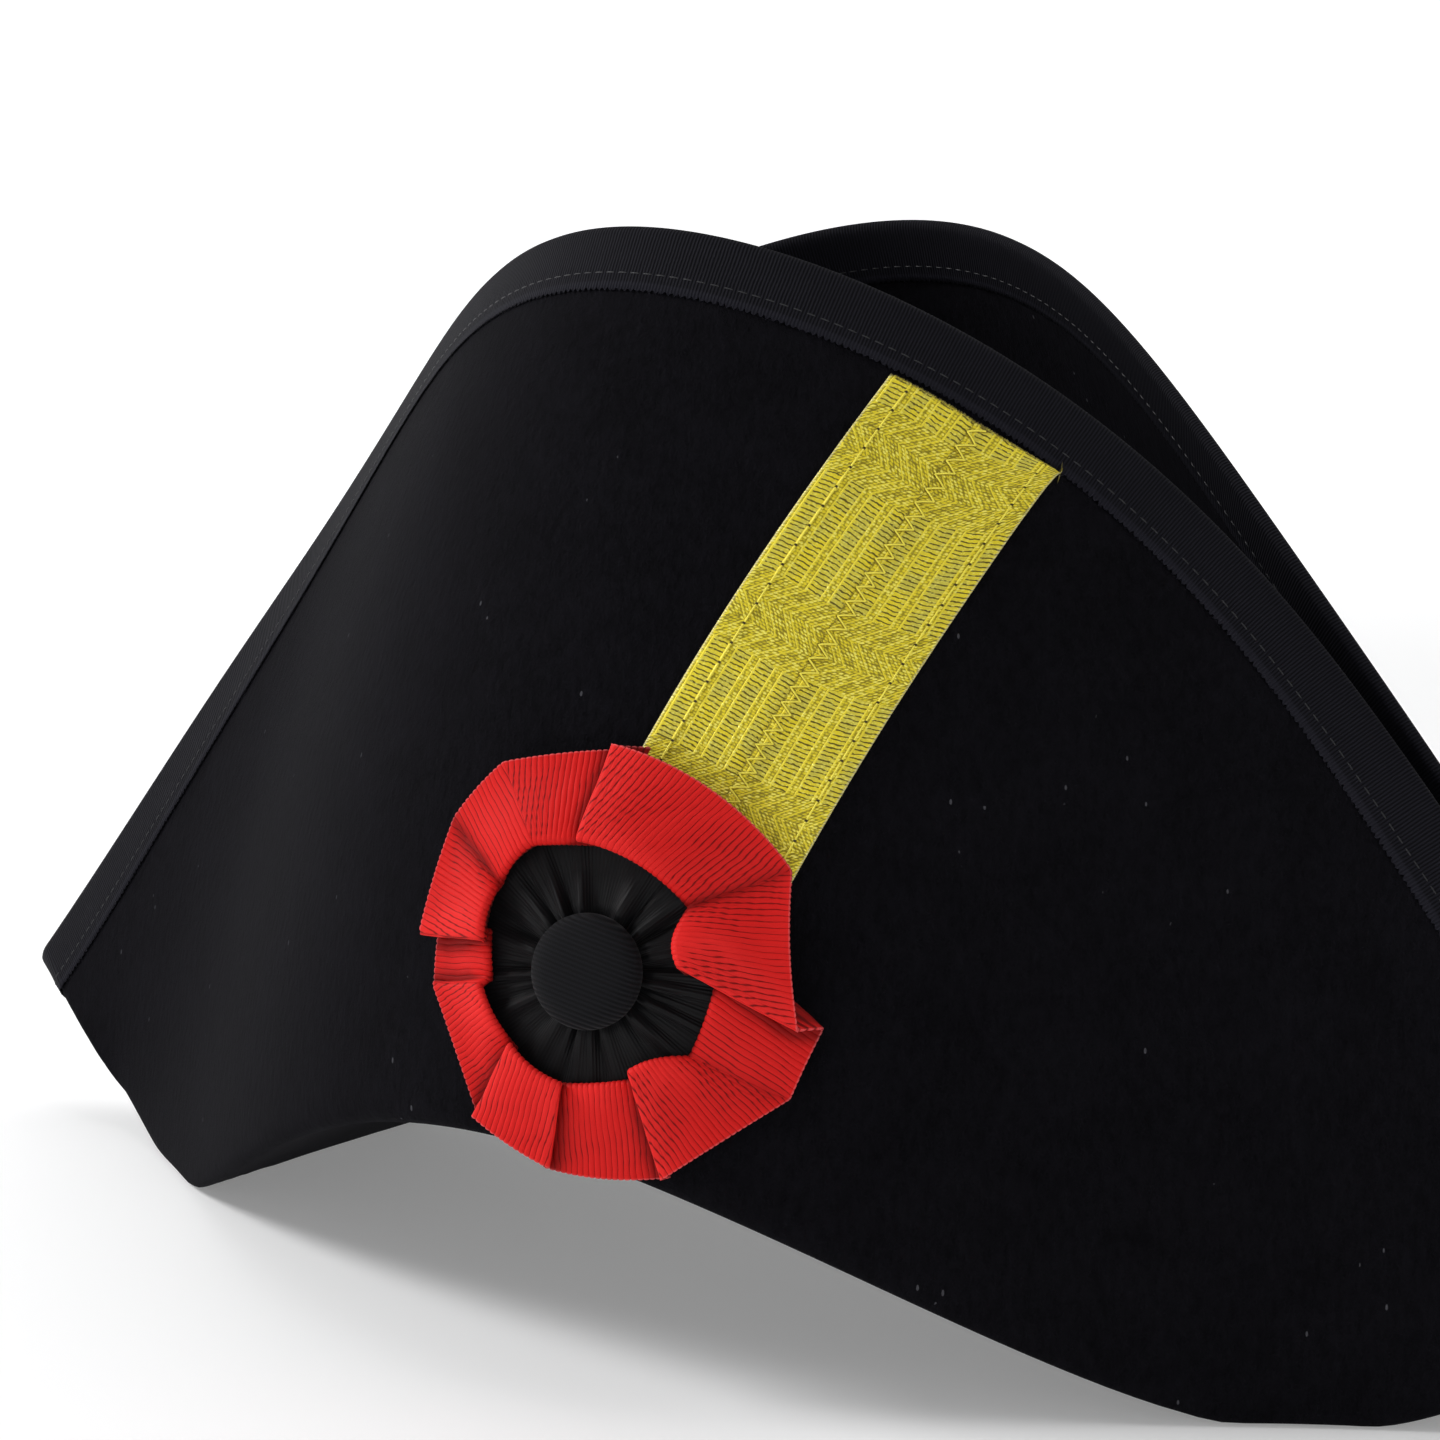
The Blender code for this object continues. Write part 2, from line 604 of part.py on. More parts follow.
def make_button(cockade):
    """A covered button: a flat back and a domed face with a rounded rim."""
    centre, right_axis, up_axis, out = cockade[:4]
    seat = gather_crest(BUTTON_RADIUS) + RIBBON_WALL / 2 + CLEARANCE
    bm = bmesh.new()
    verts = []
    for radius, height in BUTTON_PROFILE:
        lift = seat + BUTTON_HEIGHT * height
        verts.append(bm.verts.new(centre + right_axis * BUTTON_RADIUS * radius + out * lift))
    edges = [bm.edges.new(pair) for pair in zip(verts, verts[1:])]
    bmesh.ops.spin(
        bm,
        geom=verts + edges,
        cent=centre,
        axis=out,
        angle=2.0 * math.pi,
        steps=BUTTON_STEPS,
        use_merge=True,
        use_duplicate=False,
    )
    bmesh.ops.remove_doubles(bm, verts=bm.verts, dist=WELD)
    return add_object("cockade_button", bm, make_material("button_cloth", RIBBON_BLACK, 0.8))


def centre_on_origin():
    """Moves the hat sideways so that the origin is at the bottom centre of its box."""
    objects = list(bpy.context.scene.collection.objects)
    points = np.array([vert.co for obj in objects for vert in obj.data.vertices])
    middle = (points.min(axis=0) + points.max(axis=0)) / 2
    for obj in objects:
        for vert in obj.data.vertices:
            vert.co.x -= middle[0]
            vert.co.y -= middle[1]


def main():
    clear_scene()
    middle, normals = felt_surface()
    felt = make_felt(middle, normals)
    binding_line = make_binding(middle, normals)
    tree = BVHTree.FromPolygons(
        [vert.co for vert in felt.data.vertices],
        [polygon.vertices[:] for polygon in felt.data.polygons],
    )
    cockade = cockade_frame(tree)
    make_braid(tree, binding_line, cockade)
    make_red_ruffle(cockade)
    make_black_gathers(cockade)
    make_button(cockade)
    centre_on_origin()


main()
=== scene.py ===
"""A felt bicorne hat with ribbon binding, metallic braid and a ribbon cockade, on a pale studio floor.

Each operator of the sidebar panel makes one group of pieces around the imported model. +X runs from horn to
horn, -Y is the front, +Z is up, in metres.
"""

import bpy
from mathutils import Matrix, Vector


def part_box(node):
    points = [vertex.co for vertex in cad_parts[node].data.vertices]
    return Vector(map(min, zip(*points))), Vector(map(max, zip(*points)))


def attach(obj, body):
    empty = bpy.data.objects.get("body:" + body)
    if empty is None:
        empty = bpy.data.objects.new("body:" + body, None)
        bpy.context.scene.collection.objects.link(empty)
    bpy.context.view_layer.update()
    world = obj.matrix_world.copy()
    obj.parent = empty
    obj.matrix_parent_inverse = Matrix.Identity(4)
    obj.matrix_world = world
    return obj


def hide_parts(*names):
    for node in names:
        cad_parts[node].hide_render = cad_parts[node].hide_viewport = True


bl_info = {
    "name": "Bicorne Hat",
    "version": (1, 0, 0),
    "blender": (4, 5, 0),
    "location": "View3D > Sidebar > Bicorne",
    "description": "Builds a felt bicorne hat with its binding, braid, cockade and studio",
    "category": "Add Mesh",
}

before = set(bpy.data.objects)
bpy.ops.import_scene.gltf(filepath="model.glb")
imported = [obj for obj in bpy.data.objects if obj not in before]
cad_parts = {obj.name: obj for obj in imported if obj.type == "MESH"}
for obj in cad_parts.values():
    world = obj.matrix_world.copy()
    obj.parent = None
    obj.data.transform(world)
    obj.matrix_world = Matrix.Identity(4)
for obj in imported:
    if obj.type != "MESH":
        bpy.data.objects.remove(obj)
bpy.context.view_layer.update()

import math

import bmesh
import bpy
import numpy as np
from mathutils import Matrix, Vector

MM = 0.001
FELT_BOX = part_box("felt_body")
MIDDLE_Y = (FELT_BOX[0][1] + FELT_BOX[1][1]) / 2  # of the plane between the two flaps

# Spokes of a quarter of the brim: along the edge, and round the tip of the horn
EDGE_STEPS = 14
NOSE_STEPS = 3
SPOKES = 4  # to a step, on the felt
RIBBON_SPOKES = 18  # to a step, on the binding

# Powers and shares of the curves that the brim follows
FOLD_SPREAD = 1.25  # how the fold's spokes crowd towards the horns
FOLD_SHARE = 0.36  # most of the way from crown to fold that a rounded corner may take
FOLD_PINCH = 1.7  # how fast the folds draw together towards the horns
EDGE_PINCH = 5.4  # the same for the flaps' edges
EDGE_FALL = 1.05  # how fast the edges come down towards the horns
ARCH_FALL = 1.3
KEEL_CURVE = 1.4
FLAP_BULGE = 1.75
CROWN_FULLNESS = 2.6
FLAP_SAMPLES = 80
SLOPE_AT = 0.85  # share of the way up a flap where its slope under the binding is read

# Rings of the felt, from the crown's top to the brim's edge
CROWN_SHARES = 1.0 - np.linspace(0.0, 1.0, 24) ** 1.6
FILLET_SHARES = np.linspace(0.0, 1.0, 7)[1:]
FLOOR_SHARES = np.linspace(0.0, 1.0, 8)[1:]
FLAP_SHARES = np.linspace(0.0, 1.0, 17)[1:-1]
EDGE_SHARES = np.linspace(1.0, 0.0, 9)

# The braid's pattern in mm, on a map whose middle is at BRAID_MIDDLE
PATTERN = 39.8  # length of one repeat
PATTERN_START = 6.6
PATTERN_SLIP = 1.1  # how far the right strip's pattern lies below the left one's
CHEVRON = 16.4  # the part of a repeat that steps sideways
COLUMN_PITCH = 5.2  # between two ladders
COLUMN_START = 10.9
RAIL = 0.84  # from the middle of a rail pair to a rail
RUNG = 0.98  # between two rungs of a ladder
BEAD = 0.62  # between two beads of the filling, along it
BRAID_MIDDLE = 20.0
EDGE_STITCHES = ((-15.0, 0.5), (16.2, 0.2))  # (right of the braid's middle, start as a share of a stitch)

# Tones that go with the colours of the panel; the zigzag and gap browns carry painted shadow, the glint
# gold and the bright red painted highlight
LINT_GREY = (0.16, 0.16, 0.18)
RAIL_GOLD = (0.94, 0.79, 0.05)
GLINT_GOLD = (1.0, 0.93, 0.18)
EDGE_GOLD = (0.62, 0.60, 0.40)
TARNISH = (0.46, 0.45, 0.11)
ZIGZAG_SHADOW_BROWN = (0.18, 0.125, 0.004)
GAP_AND_SHADOW_BROWN = (0.035, 0.02, 0.001)
TONE_AND_HIGHLIGHT_RED = (0.80, 0.022, 0.020)

THREAD = 0.3 * MM  # thickness of the black sewing thread
GOLD_THREAD = 0.4 * MM

# The red ruffle's folds, anticlockwise from the right. The panel before a fold ends, and the one after it
# starts, at (inner angle, inner radius, outer angle, outer radius, rise), in degrees and in shares of the
# ruffle's radius and rise. A bulge is a share of the radius, and a hump of the rise.
RUFFLE_FOLDS = (  # (end of the panel before, start of the panel after, (inner bulge, outer bulge, hump))
    ((29.2, 0.543, 25.5, 1.005, 0.0), (29.2, 0.543, 25.5, 1.005, 0.0), (0.05, 0.085, 0.0)),
    ((92.0, 0.537, 82.6, 0.967, 0.95), (85.0, 0.540, 73.5, 1.000, 0.06), (0.0, 0.01, 0.0)),
    ((113.6, 0.574, 114.0, 0.977, 0.66), (113.6, 0.574, 114.0, 0.977, 0.66), (0.02, 0.005, 0.0)),
    ((138.0, 0.542, 135.2, 0.933, 0.0), (138.0, 0.542, 135.2, 0.933, 0.0), (0.02, 0.0, 0.0)),
    ((167.9, 0.476, 170.6, 0.811, 0.95), (161.0, 0.478, 164.0, 0.745, 0.10), (0.0, 0.0, 0.12)),
    ((187.6, 0.451, 186.2, 0.752, 0.0), (190.0, 0.498, 186.0, 0.752, 0.34), (0.017, -0.015, 0.28)),
    ((228.0, 0.483, 232.0, 0.850, 0.0), (225.0, 0.487, 230.4, 0.856, 0.50), (0.024, 0.012, 0.06)),
    ((258.8, 0.522, 258.6, 0.892, 0.52), (256.6, 0.522, 256.4, 0.892, 0.05), (0.015, 0.03, 0.16)),
    ((297.5, 0.539, 292.6, 0.970, 0.08), (295.0, 0.502, 290.2, 0.975, 0.66), (-0.02, 0.0, 0.0)),
    ((321.2, 0.608, 328.2, 1.050, 0.12), (321.2, 0.608, 328.2, 1.050, 0.12), (0.033, 0.0, 0.22)),
    ((372.0, 0.630, 346.4, 1.064, 0.08), (358.9, 0.440, 344.2, 0.972, 0.98), (-0.04, -0.018, 0.0)),
)
GATHER_SWELL = ((0.0, 0.25), (0.3, 1.0), (0.6, 0.45), (1.0, 0.2))  # (way across, share of the rise)


# Settings that a user may change


def length(name, millimetres, description):
    """A size property, given in millimetres and kept in metres."""
    return bpy.props.FloatProperty(
        name=name,
        description=description,
        default=millimetres * MM,
        min=0.0,
        precision=4,
        unit="LENGTH",
    )


def angle(name, degrees, description):
    return bpy.props.FloatProperty(
        name=name, description=description, default=math.radians(degrees), subtype="ANGLE"
    )


def colour(name, value, description):
    return bpy.props.FloatVectorProperty(
        name=name,
        description=description,
        default=value,
        size=3,
        min=0.0,
        max=1.0,
        subtype="COLOR",
    )


class BicorneFelt(bpy.types.PropertyGroup):
    """Sizes of the felt, to its middle."""

    wall: length("Felt", 2.2, "Thickness of the felt")
    crown_half_width: length("Crown half-width", 83.0, "Half the crown's width at its foot")
    crown_half_length: length("Crown half-length", 101.0, "Half the crown's length from front to back")
    crown_top: length("Crown top", 165.0, "Height of the crown")
    horn_reach: length("Horn reach", 231.0, "From the middle to a horn's tip")
    tip_height: length("Tip height", 38.0, "Height of the horns' tips")
    horn_nose: length("Horn nose", 4.5, "Radius of the edge at a horn's tip")
    front_height: length("Front edge height", 235.0, "Highest point of the front flap's edge")
    front_depth: length("Front edge depth", 60.0, "How far the front edge stands off the middle plane")
    rear_height: length("Rear edge height", 240.3, "Highest point of the rear flap's edge")
    rear_depth: length("Rear edge depth", 58.6, "How far the rear edge stands off the middle plane")
    fold_depth: length("Fold half-depth", 111.0, "How far the flaps' folds stand off the middle plane")
    fold_inset: length("Fold inset", 31.0, "How far short of the tip the two folds meet")
    fold_nose: length("Fold nose", 7.0, "Half-width of the keel where the folds meet")
    fold_radius: length("Fold radius", 7.0, "Radius of the folds")
    arch_height: length("Arch height", 50.5, "Rise of the folds at the front and rear")
    arch_inset: length("Arch inset", 91.0, "How far inside the tips the arch comes down")
    keel_length: length("Keel length", 66.0, "End of a horn whose underside rises to the tip")
    black: colour("Felt", (0.0031, 0.0029, 0.0040), "Colour of the felt")


class BicorneBinding(bpy.types.PropertyGroup):
    """The ribbon over the brim's edge."""

    width: length("Width", 13.4, "Width on each side of the edge")
    wall: length("Ribbon", 0.42, "Thickness of the ribbon")
    seat: length("Seat", 0.09, "Gap between the felt and the ribbon")
    crown: length("Crown", 0.5, "Extra roundness over the edge")
    rib: length("Rib", 0.74, "Distance between the ribs")
    stitch: length("Stitch", 3.0, "Length of a stitch and the gap after it")
    stitch_drop: length("Stitch line", 9.3, "Distance of the stitches from the edge")
    black: colour("Ribbon", (0.0082, 0.0080, 0.0115), "Colour of the ribbon")
    thread: colour("Thread", (0.0085, 0.0088, 0.011), "Colour of the sewing thread")


class BicorneBraid(bpy.types.PropertyGroup):
    """The metallic band."""

    width: length("Width", 39.4, "Width of the two strips together")
    wall: length("Thickness", 0.9, "Thickness of the braid")
    seat: length("Seat", 0.5, "Gap between the felt and the braid")
    groove: length("Groove", 0.35, "Dip along the seam between the two strips")
    offset: length("Offset", 9.1, "Its centre line to the right of the cockade's centre")
    tilt: angle("Tilt", 18.9, "From the vertical")
    end_gap: length("End gap", 0.1, "Gap between its top and the binding")
    zigzag: length("Zigzag", 3.45, "Length of one zigzag stitch of the seam")
    zigzag_width: length("Zigzag width", 3.1, "Width of the zigzag")
    zigzag_right: length("Zigzag right", 1.4, "Its middle, right of the seam")
    stitch: length("Stitch", 4.65, "Length of the stitches along the edges")
    gold: colour("Gold", (0.87, 0.71, 0.016), "Colour of the metallic yarn")
    # The gap colour is painted shade between the yarns
    shade: colour("Gap", (0.11, 0.082, 0.002), "Colour between the yarns")
    thread: colour("Thread", (1.0, 0.88, 0.09), "Colour of the sewing thread")


class BicorneCockade(bpy.types.PropertyGroup):
    """The ribbon cockade and its button."""

    right: length("Right", 25.5, "Its centre to the right of the hat's centre")
    height: length("Height", 88.0, "Height of its centre")
    radius: length("Radius", 46.0, "Radius of the red ruffle")
    rise: length("Rise", 7.4, "Highest fold above the lowest")
    wall: length("Ribbon", 0.7, "Thickness of the ribbons")
    seat: length("Seat", 2.15, "Middle of the lowest ribbon over the felt")
    rib: length("Rib", 1.25, "Distance between the red ribbon's ribs")
    rib_height: length("Rib height", 0.26, "Height of the red ribbon's ribs")
    roll: length("Rolled rim", 1.1, "Radius of the red ribbon's rolled inner rim")
    gather_reach: length("Gather reach", 29.3, "Outer radius of the gathers, under the ruffle")
    gather_tuck: length("Gather tuck", 5.8, "How far the gathers run under the button")
    gather_rise: length("Gather rise", 3.6, "Height of the gathers")
    gathers: bpy.props.IntProperty(name="Gathers", description="Number of gathers", default=15, min=3)
    button: length("Button radius", 11.7, "Radius of the button")
    button_right: length("Button right", 2.3, "The button's centre, right of the ruffle's")
    button_height: length("Button height", 5.5, "Height of the button")
    drape: bpy.props.FloatProperty(
        name="Drape",
        description="Share of the felt's curve that it follows",
        default=0.6,
        subtype="FACTOR",
    )
    red: colour("Red", (0.60, 0.007, 0.006), "Colour of the red ribbon")
    # The rim colour is partly the ribbon's paler edge and partly painted highlight
    rim: colour("Rim", (0.70, 0.16, 0.17), "Colour of the red ribbon's edges")
    black: colour("Black", (0.0034, 0.0034, 0.0042), "Colour of the black ribbon")
    cloth: colour("Button", (0.0052, 0.0053, 0.0066), "Colour of the button's cloth")


class BicorneStudio(bpy.types.PropertyGroup):
    """The camera, lights and floor."""

    azimuth: angle("Azimuth", 33.3, "Camera's turn from the front")
    elevation: angle("Elevation", 7.5, "Camera's angle over the floor")
    roll: angle("Roll", 1.4, "Camera's turn about its own axis")
    distance: length("Distance", 750.0, "From the camera to its target")
    target_left: length("Target left", 14.3, "The target, left of the hat's middle")
    target_height: length("Target height", 124.6, "Height of the target")
    lens: bpy.props.FloatProperty(
        name="Lens", description="Focal length on a 36 mm sensor, in mm", default=80.16, min=1.0
    )
    floor_radius: length("Floor radius", 2600.0, "Radius of the flat floor")
    backdrop_bend: length("Backdrop bend", 1400.0, "Radius of the bend from floor to backdrop")
    pale: colour("Floor", (0.86, 0.86, 0.865), "Colour of the floor")


GROUPS = {
    "bicorne_felt": BicorneFelt,
    "bicorne_binding": BicorneBinding,
    "bicorne_braid": BicorneBraid,
    "bicorne_cockade": BicorneCockade,
    "bicorne_studio": BicorneStudio,
}


def unit(vectors):
    return vectors / np.linalg.norm(vectors, axis=-1, keepdims=True)


def smooth(share):
    """Eases a share in and out."""
    share = np.clip(share, 0.0, 1.0)
    return share * share * (3.0 - 2.0 * share)


def shade(tint, share):
    """A darker or lighter colour of the same hue."""
    return tuple(part * share for part in tint)


# Shader nodes


class Field:
    """A shader value that adds, multiplies and compares like a number."""

    def __init__(self, paint, output):
        self.paint = paint
        self.output = output

    def math(self, operation, *others):
        return self.paint.node("ShaderNodeMath", {"operation": operation}, (self, *others))

    def __add__(self, other):
        return self.math("ADD", other)

    __radd__ = __add__

    def __sub__(self, other):
        return self.math("SUBTRACT", other)

    def __rsub__(self, other):
        return self.paint.node("ShaderNodeMath", {"operation": "SUBTRACT"}, (other, self))

    def __mul__(self, other):
        return self.math("MULTIPLY", other)

    __rmul__ = __mul__

    def __truediv__(self, other):
        return self.math("DIVIDE", other)

    def __lt__(self, other):
        return self.math("LESS_THAN", other)

    def __gt__(self, other):
        return self.math("GREATER_THAN", other)

    def __abs__(self):
        return self.math("ABSOLUTE")

    def sine(self):
        return self.math("SINE")

    def fraction(self):
        return self.math("FRACT")

    def floor(self):
        return self.math("FLOOR")

    def most(self, other):
        return self.math("MAXIMUM", other)

    def between(self, low, high):
        """0 below low, 1 above high, eased between."""
        inputs = {"Value": self, "From Min": low, "From Max": high}
        return self.paint.node("ShaderNodeMapRange", {"interpolation_type": "SMOOTHSTEP"}, inputs)

    def wave(self, period):
        """A wave between 0 and 1."""
        return (self * (2.0 * math.pi / period)).sine() * 0.5 + 0.5


class Paint:
    """A node material. Its finish is set on the shader's sockets of those names."""

    def __init__(self, name, **finish):
        self.material = bpy.data.materials.new(name)
        self.material.use_nodes = True
        self.tree = self.material.node_tree
        self.shader = self.tree.nodes["Principled BSDF"]
        for socket, value in finish.items():
            self.set(socket.replace("_", " ").title().replace("Ior", "IOR"), value)

    def set(self, socket, value):
        """Links a field to one of the shader's sockets, or sets its value."""
        self.feed(self.shader.inputs[socket], value)

    def feed(self, socket, value):
        if isinstance(value, Field):
            self.tree.links.new(value.output, socket)
        elif socket.type == "RGBA" and len(value) == 3:
            socket.default_value = (*value, 1.0)
        else:
            socket.default_value = value

    def node(self, kind, settings, inputs, output=0):
        """Adds a node with its settings, then its sockets by name or in order."""
        made = self.tree.nodes.new(kind)
        for name, value in settings.items():
            setattr(made, name, value)
        items = inputs.items() if isinstance(inputs, dict) else enumerate(inputs)
        for socket, value in items:
            self.feed(made.inputs[socket], value)
        return Field(self, made.outputs[output])

    def place(self):
        """Object coordinates."""
        return self.node("ShaderNodeTexCoord", {}, (), "Object")

    def weave(self, name="weave"):
        """One of the piece's own maps, as its two fields."""
        uv = self.node("ShaderNodeUVMap", {"uv_map": name}, ())
        return tuple(self.node("ShaderNodeSeparateXYZ", {}, (uv,), axis) for axis in ("X", "Y"))

    def point(self, x, y, z=0.0):
        return self.node("ShaderNodeCombineXYZ", {}, (x, y, z))

    def noise(self, vector, scale, detail=2.0, roughness=0.5):
        inputs = {"Vector": vector, "Scale": scale, "Detail": detail, "Roughness": roughness}
        return self.node("ShaderNodeTexNoise", {}, inputs)

    def cells(self, vector, scale, output="Distance", randomness=1.0):
        inputs = {"Vector": vector, "Scale": scale, "Randomness": randomness}
        return self.node("ShaderNodeTexVoronoi", {}, inputs, output)

    def length(self, vector):
        return self.node("ShaderNodeVectorMath", {"operation": "LENGTH"}, (vector,), "Value")

    def mix(self, share, first, second):
        settings = {"data_type": "RGBA", "clamp_factor": True}
        return self.node("ShaderNodeMix", settings, {0: share, 6: first, 7: second}, 2)

    def bump(self, height, distance, strength=1.0, under=None):
        inputs = {"Height": height, "Distance": distance, "Strength": strength}
        if under is not None:
            inputs["Normal"] = under
        return self.node("ShaderNodeBump", {}, inputs)


def felt_paint(felt):
    """Brushed wool felt: a short nap, faint clouding and a little lint."""
    sheen = {"sheen_weight": 0.008, "sheen_roughness": 0.35, "sheen_tint": (0.50, 0.50, 0.72)}
    paint = Paint("bicorne_felt", roughness=0.92, specular_ior_level=0.045, **sheen)
    place = paint.place()
    brushed = paint.node("ShaderNodeVectorMath", {"operation": "MULTIPLY"}, (place, (1.0, 1.0, 0.4)))
    nap = paint.noise(place, scale=2100.0, detail=4.0, roughness=0.65)
    tufts = paint.noise(brushed, scale=620.0, detail=3.0, roughness=0.65)
    clouds = paint.noise(place, scale=60.0, detail=3.0, roughness=0.6)
    dusty = paint.noise(place, scale=60.0, detail=1.0) > 0.60
    lint = (paint.cells(brushed, scale=260.0) < 0.07) * dusty
    tone = nap * 0.45 + tufts * 0.35 + clouds * 0.2
    base = paint.mix(tone.between(0.30, 0.70), shade(felt.black, 0.5), shade(felt.black, 1.9))
    paint.set("Base Color", paint.mix(lint * 0.35, base, LINT_GREY))
    clouding = paint.bump(clouds, distance=0.5 * MM, strength=0.25)
    tufting = paint.bump(tufts, distance=0.6 * MM, strength=0.8, under=clouding)
    paint.set("Normal", paint.bump(nap, distance=0.25 * MM, strength=0.9, under=tufting))
    return paint.material


def binding_paint(binding, half):
    """Fine black grosgrain whose ribs run square to the edge, with a woven border and small teeth."""
    sheen = {"sheen_weight": 0.005, "sheen_roughness": 0.4}
    paint = Paint("bicorne_binding", roughness=0.72, specular_ior_level=0.06, **sheen)
    pitch = binding.rib / MM
    along, across = paint.weave()
    wander = paint.noise(paint.point(along * 0.35, across * 0.25), scale=1.0)
    rib = (along + wander * 0.3).wave(pitch)
    tone = paint.noise(paint.point(along * 0.06, across * 0.2), scale=1.0, detail=3.0)
    from_middle = abs(across - half)
    border = from_middle.between(half - 2.4, half - 1.8)
    # Painted light and shade: the ribs' ridges are lighter and their grooves darker, over a random tone;
    # the woven border is paler
    lit = rib * (0.45 + tone * 0.4) * (1.0 - border * 0.4) + border * 0.5
    paint.set("Base Color", paint.mix(lit, shade(binding.black, 0.25), shade(binding.black, 1.8)))
    ragged = paint.noise(paint.point(along * 0.9, 0.0), scale=1.0).between(0.25, 0.75)
    tooth_end = half - (1.0 - along.wave(2.0 * pitch)) * (0.1 + ragged * 0.85)
    paint.set("Alpha", 1.0 - (from_middle - tooth_end).between(-0.03, 0.03))
    paint.set("Normal", paint.bump(rib, distance=0.16 * MM, strength=0.9))
    return paint.material


def thread_paint(name, tint, roughness, metallic=0.0):
    """Twisted sewing thread."""
    paint = Paint(name, roughness=roughness, metallic=metallic)
    grain = paint.noise(paint.place(), scale=2600.0)
    paint.set("Base Color", paint.mix(grain, shade(tint, 0.75), shade(tint, 1.0)))
    paint.set("Normal", paint.bump(grain, distance=0.06 * MM, strength=0.6))
    return paint.material


def braid_paint(braid):
    """Metallic yarn in raised double rails with ladders between them, stepping sideways in chevrons."""
    paint = Paint("bicorne_braid", metallic=0.3, roughness=0.5)
    across, along = paint.weave()
    strip = (across / BRAID_MIDDLE).floor()
    inward = across - strip * BRAID_MIDDLE - COLUMN_START
    repeat = ((along - PATTERN_START + strip * PATTERN_SLIP) / PATTERN).fraction() * PATTERN
    chevron = repeat < CHEVRON
    band = repeat / (CHEVRON / 3.0)
    shift = chevron * abs((band * 0.5 + 0.5).fraction() * 2.0 - 1.0) * COLUMN_PITCH
    beside = abs(((inward + shift) / COLUMN_PITCH + 0.5).fraction() - 0.5) * COLUMN_PITCH
    wobble = paint.noise(paint.point(across * 0.7, along * 0.7), scale=1.0) - 0.5
    yarn = paint.noise(paint.point(across * 2.6, along * 2.6), scale=1.0, roughness=0.75)
    patch = paint.noise(paint.point(across * 0.16, along * 0.16), scale=1.0)

    # Heights of the rails, of the ladders between them and of the beads that fill the rest
    rail = 1.0 - abs(beside - RAIL).between(0.10, 0.30)
    ladder = beside.between(0.95, 1.2) * (1.0 - chevron)
    rung = (along + wobble * 0.8).wave(RUNG).between(0.02, 0.36)
    beads = paint.point((inward + shift + wobble * 0.3) / (COLUMN_PITCH / 6.0), along / BEAD)
    bead = 1.0 - paint.cells(beads, scale=1.0, randomness=0.4).between(0.18, 0.68)
    flash = paint.cells(beads, scale=1.0, output="Color", randomness=0.4)
    fill = 0.30 + bead * (0.25 + flash * 0.4)
    fill = fill - chevron * (0.02 + beside.between(1.0, 1.4) * 0.04)
    fill = fill + ladder * (0.10 + rung * (0.45 + yarn * 0.35) - fill)
    rails = rail * (1.0 - chevron * 0.3)
    height = rails.most(fill * 0.9)

    # Painted shade: low parts of the weave take the dark gap colour and high parts the gold; on the ladders
    # the rungs are tarnished and painted shade lies between them
    base = paint.mix(height.between(0.05, 0.62), braid.shade[:], braid.gold[:])
    tarnish_and_rung_shade = paint.mix(rung, braid.shade[:], TARNISH)
    base = paint.mix(ladder * patch.between(0.35, 0.65) * 0.5, base, tarnish_and_rung_shade)
    base = paint.mix(rails * 0.7, base, RAIL_GOLD)
    glint = flash.between(0.46, 0.58) * bead.between(0.5, 0.9) * (1.0 - ladder * 0.5)
    glint = glint.most(yarn.between(0.58, 0.66) * rung * 0.75)
    base = paint.mix(glint * 0.9, base, GLINT_GOLD)

    # The painted shadow along the zigzag thread, the pale edges and the frayed top
    tip = abs(((along - 1.0) / (braid.zigzag / MM)).fraction() * 2.0 - 1.0) * 2.0 - 1.0
    zigzag = across - BRAID_MIDDLE - braid.zigzag_right / MM - tip * (braid.zigzag_width / 2 / MM)
    # Painted shadow: the braid is darkened brown along both sides of the zigzag thread
    zigzag_shadow = 1.0 - abs(zigzag).between(0.25, 0.95)
    base = paint.mix(zigzag_shadow * 0.75, base, ZIGZAG_SHADOW_BROWN)
    inside_edge = braid.width / 2 / MM - abs(across - BRAID_MIDDLE)
    edge = 1.0 - inside_edge.between(0.3, 0.5)
    base = paint.mix(edge * (along.wave(0.5) * 0.6 + 0.15), base, EDGE_GOLD)
    fray = paint.noise(paint.point(across * 1.7, 0.0), scale=1.0, detail=3.0, roughness=0.8)
    paint.set("Alpha", (along - fray * 2.2 + 0.95).between(-0.05, 0.05))

    # Dark gaps at the seam and the needle holes, and painted shadow at the top end by the binding's edge
    seam = 1.0 - abs(across - BRAID_MIDDLE).between(0.15, 0.55)
    # Painted shadow along the top end, next to the binding
    end = 1.0 - (along + yarn * 1.6).between(0.7, 1.9)
    gaps_and_top_shadow = end.most(seam * yarn.between(0.4, 0.6) * 0.6)
    pitch = braid.stitch / MM
    for right, start in EDGE_STITCHES:
        step = (along / pitch - start + 0.5).fraction() - 0.5
        reach = paint.length(paint.point(across - (BRAID_MIDDLE + right), step * pitch))
        gaps_and_top_shadow = gaps_and_top_shadow.most(1.0 - reach.between(0.2, 0.5))
    paint.set("Base Color", paint.mix(gaps_and_top_shadow, base, GAP_AND_SHADOW_BROWN))
    paint.set("Roughness", 0.55 - glint * 0.25)
    relief = paint.bump(height * (1.0 - gaps_and_top_shadow), distance=0.28 * MM, strength=0.8)
    paint.set("Normal", paint.bump(yarn, distance=0.10 * MM, strength=0.6, under=relief))
    return paint.material


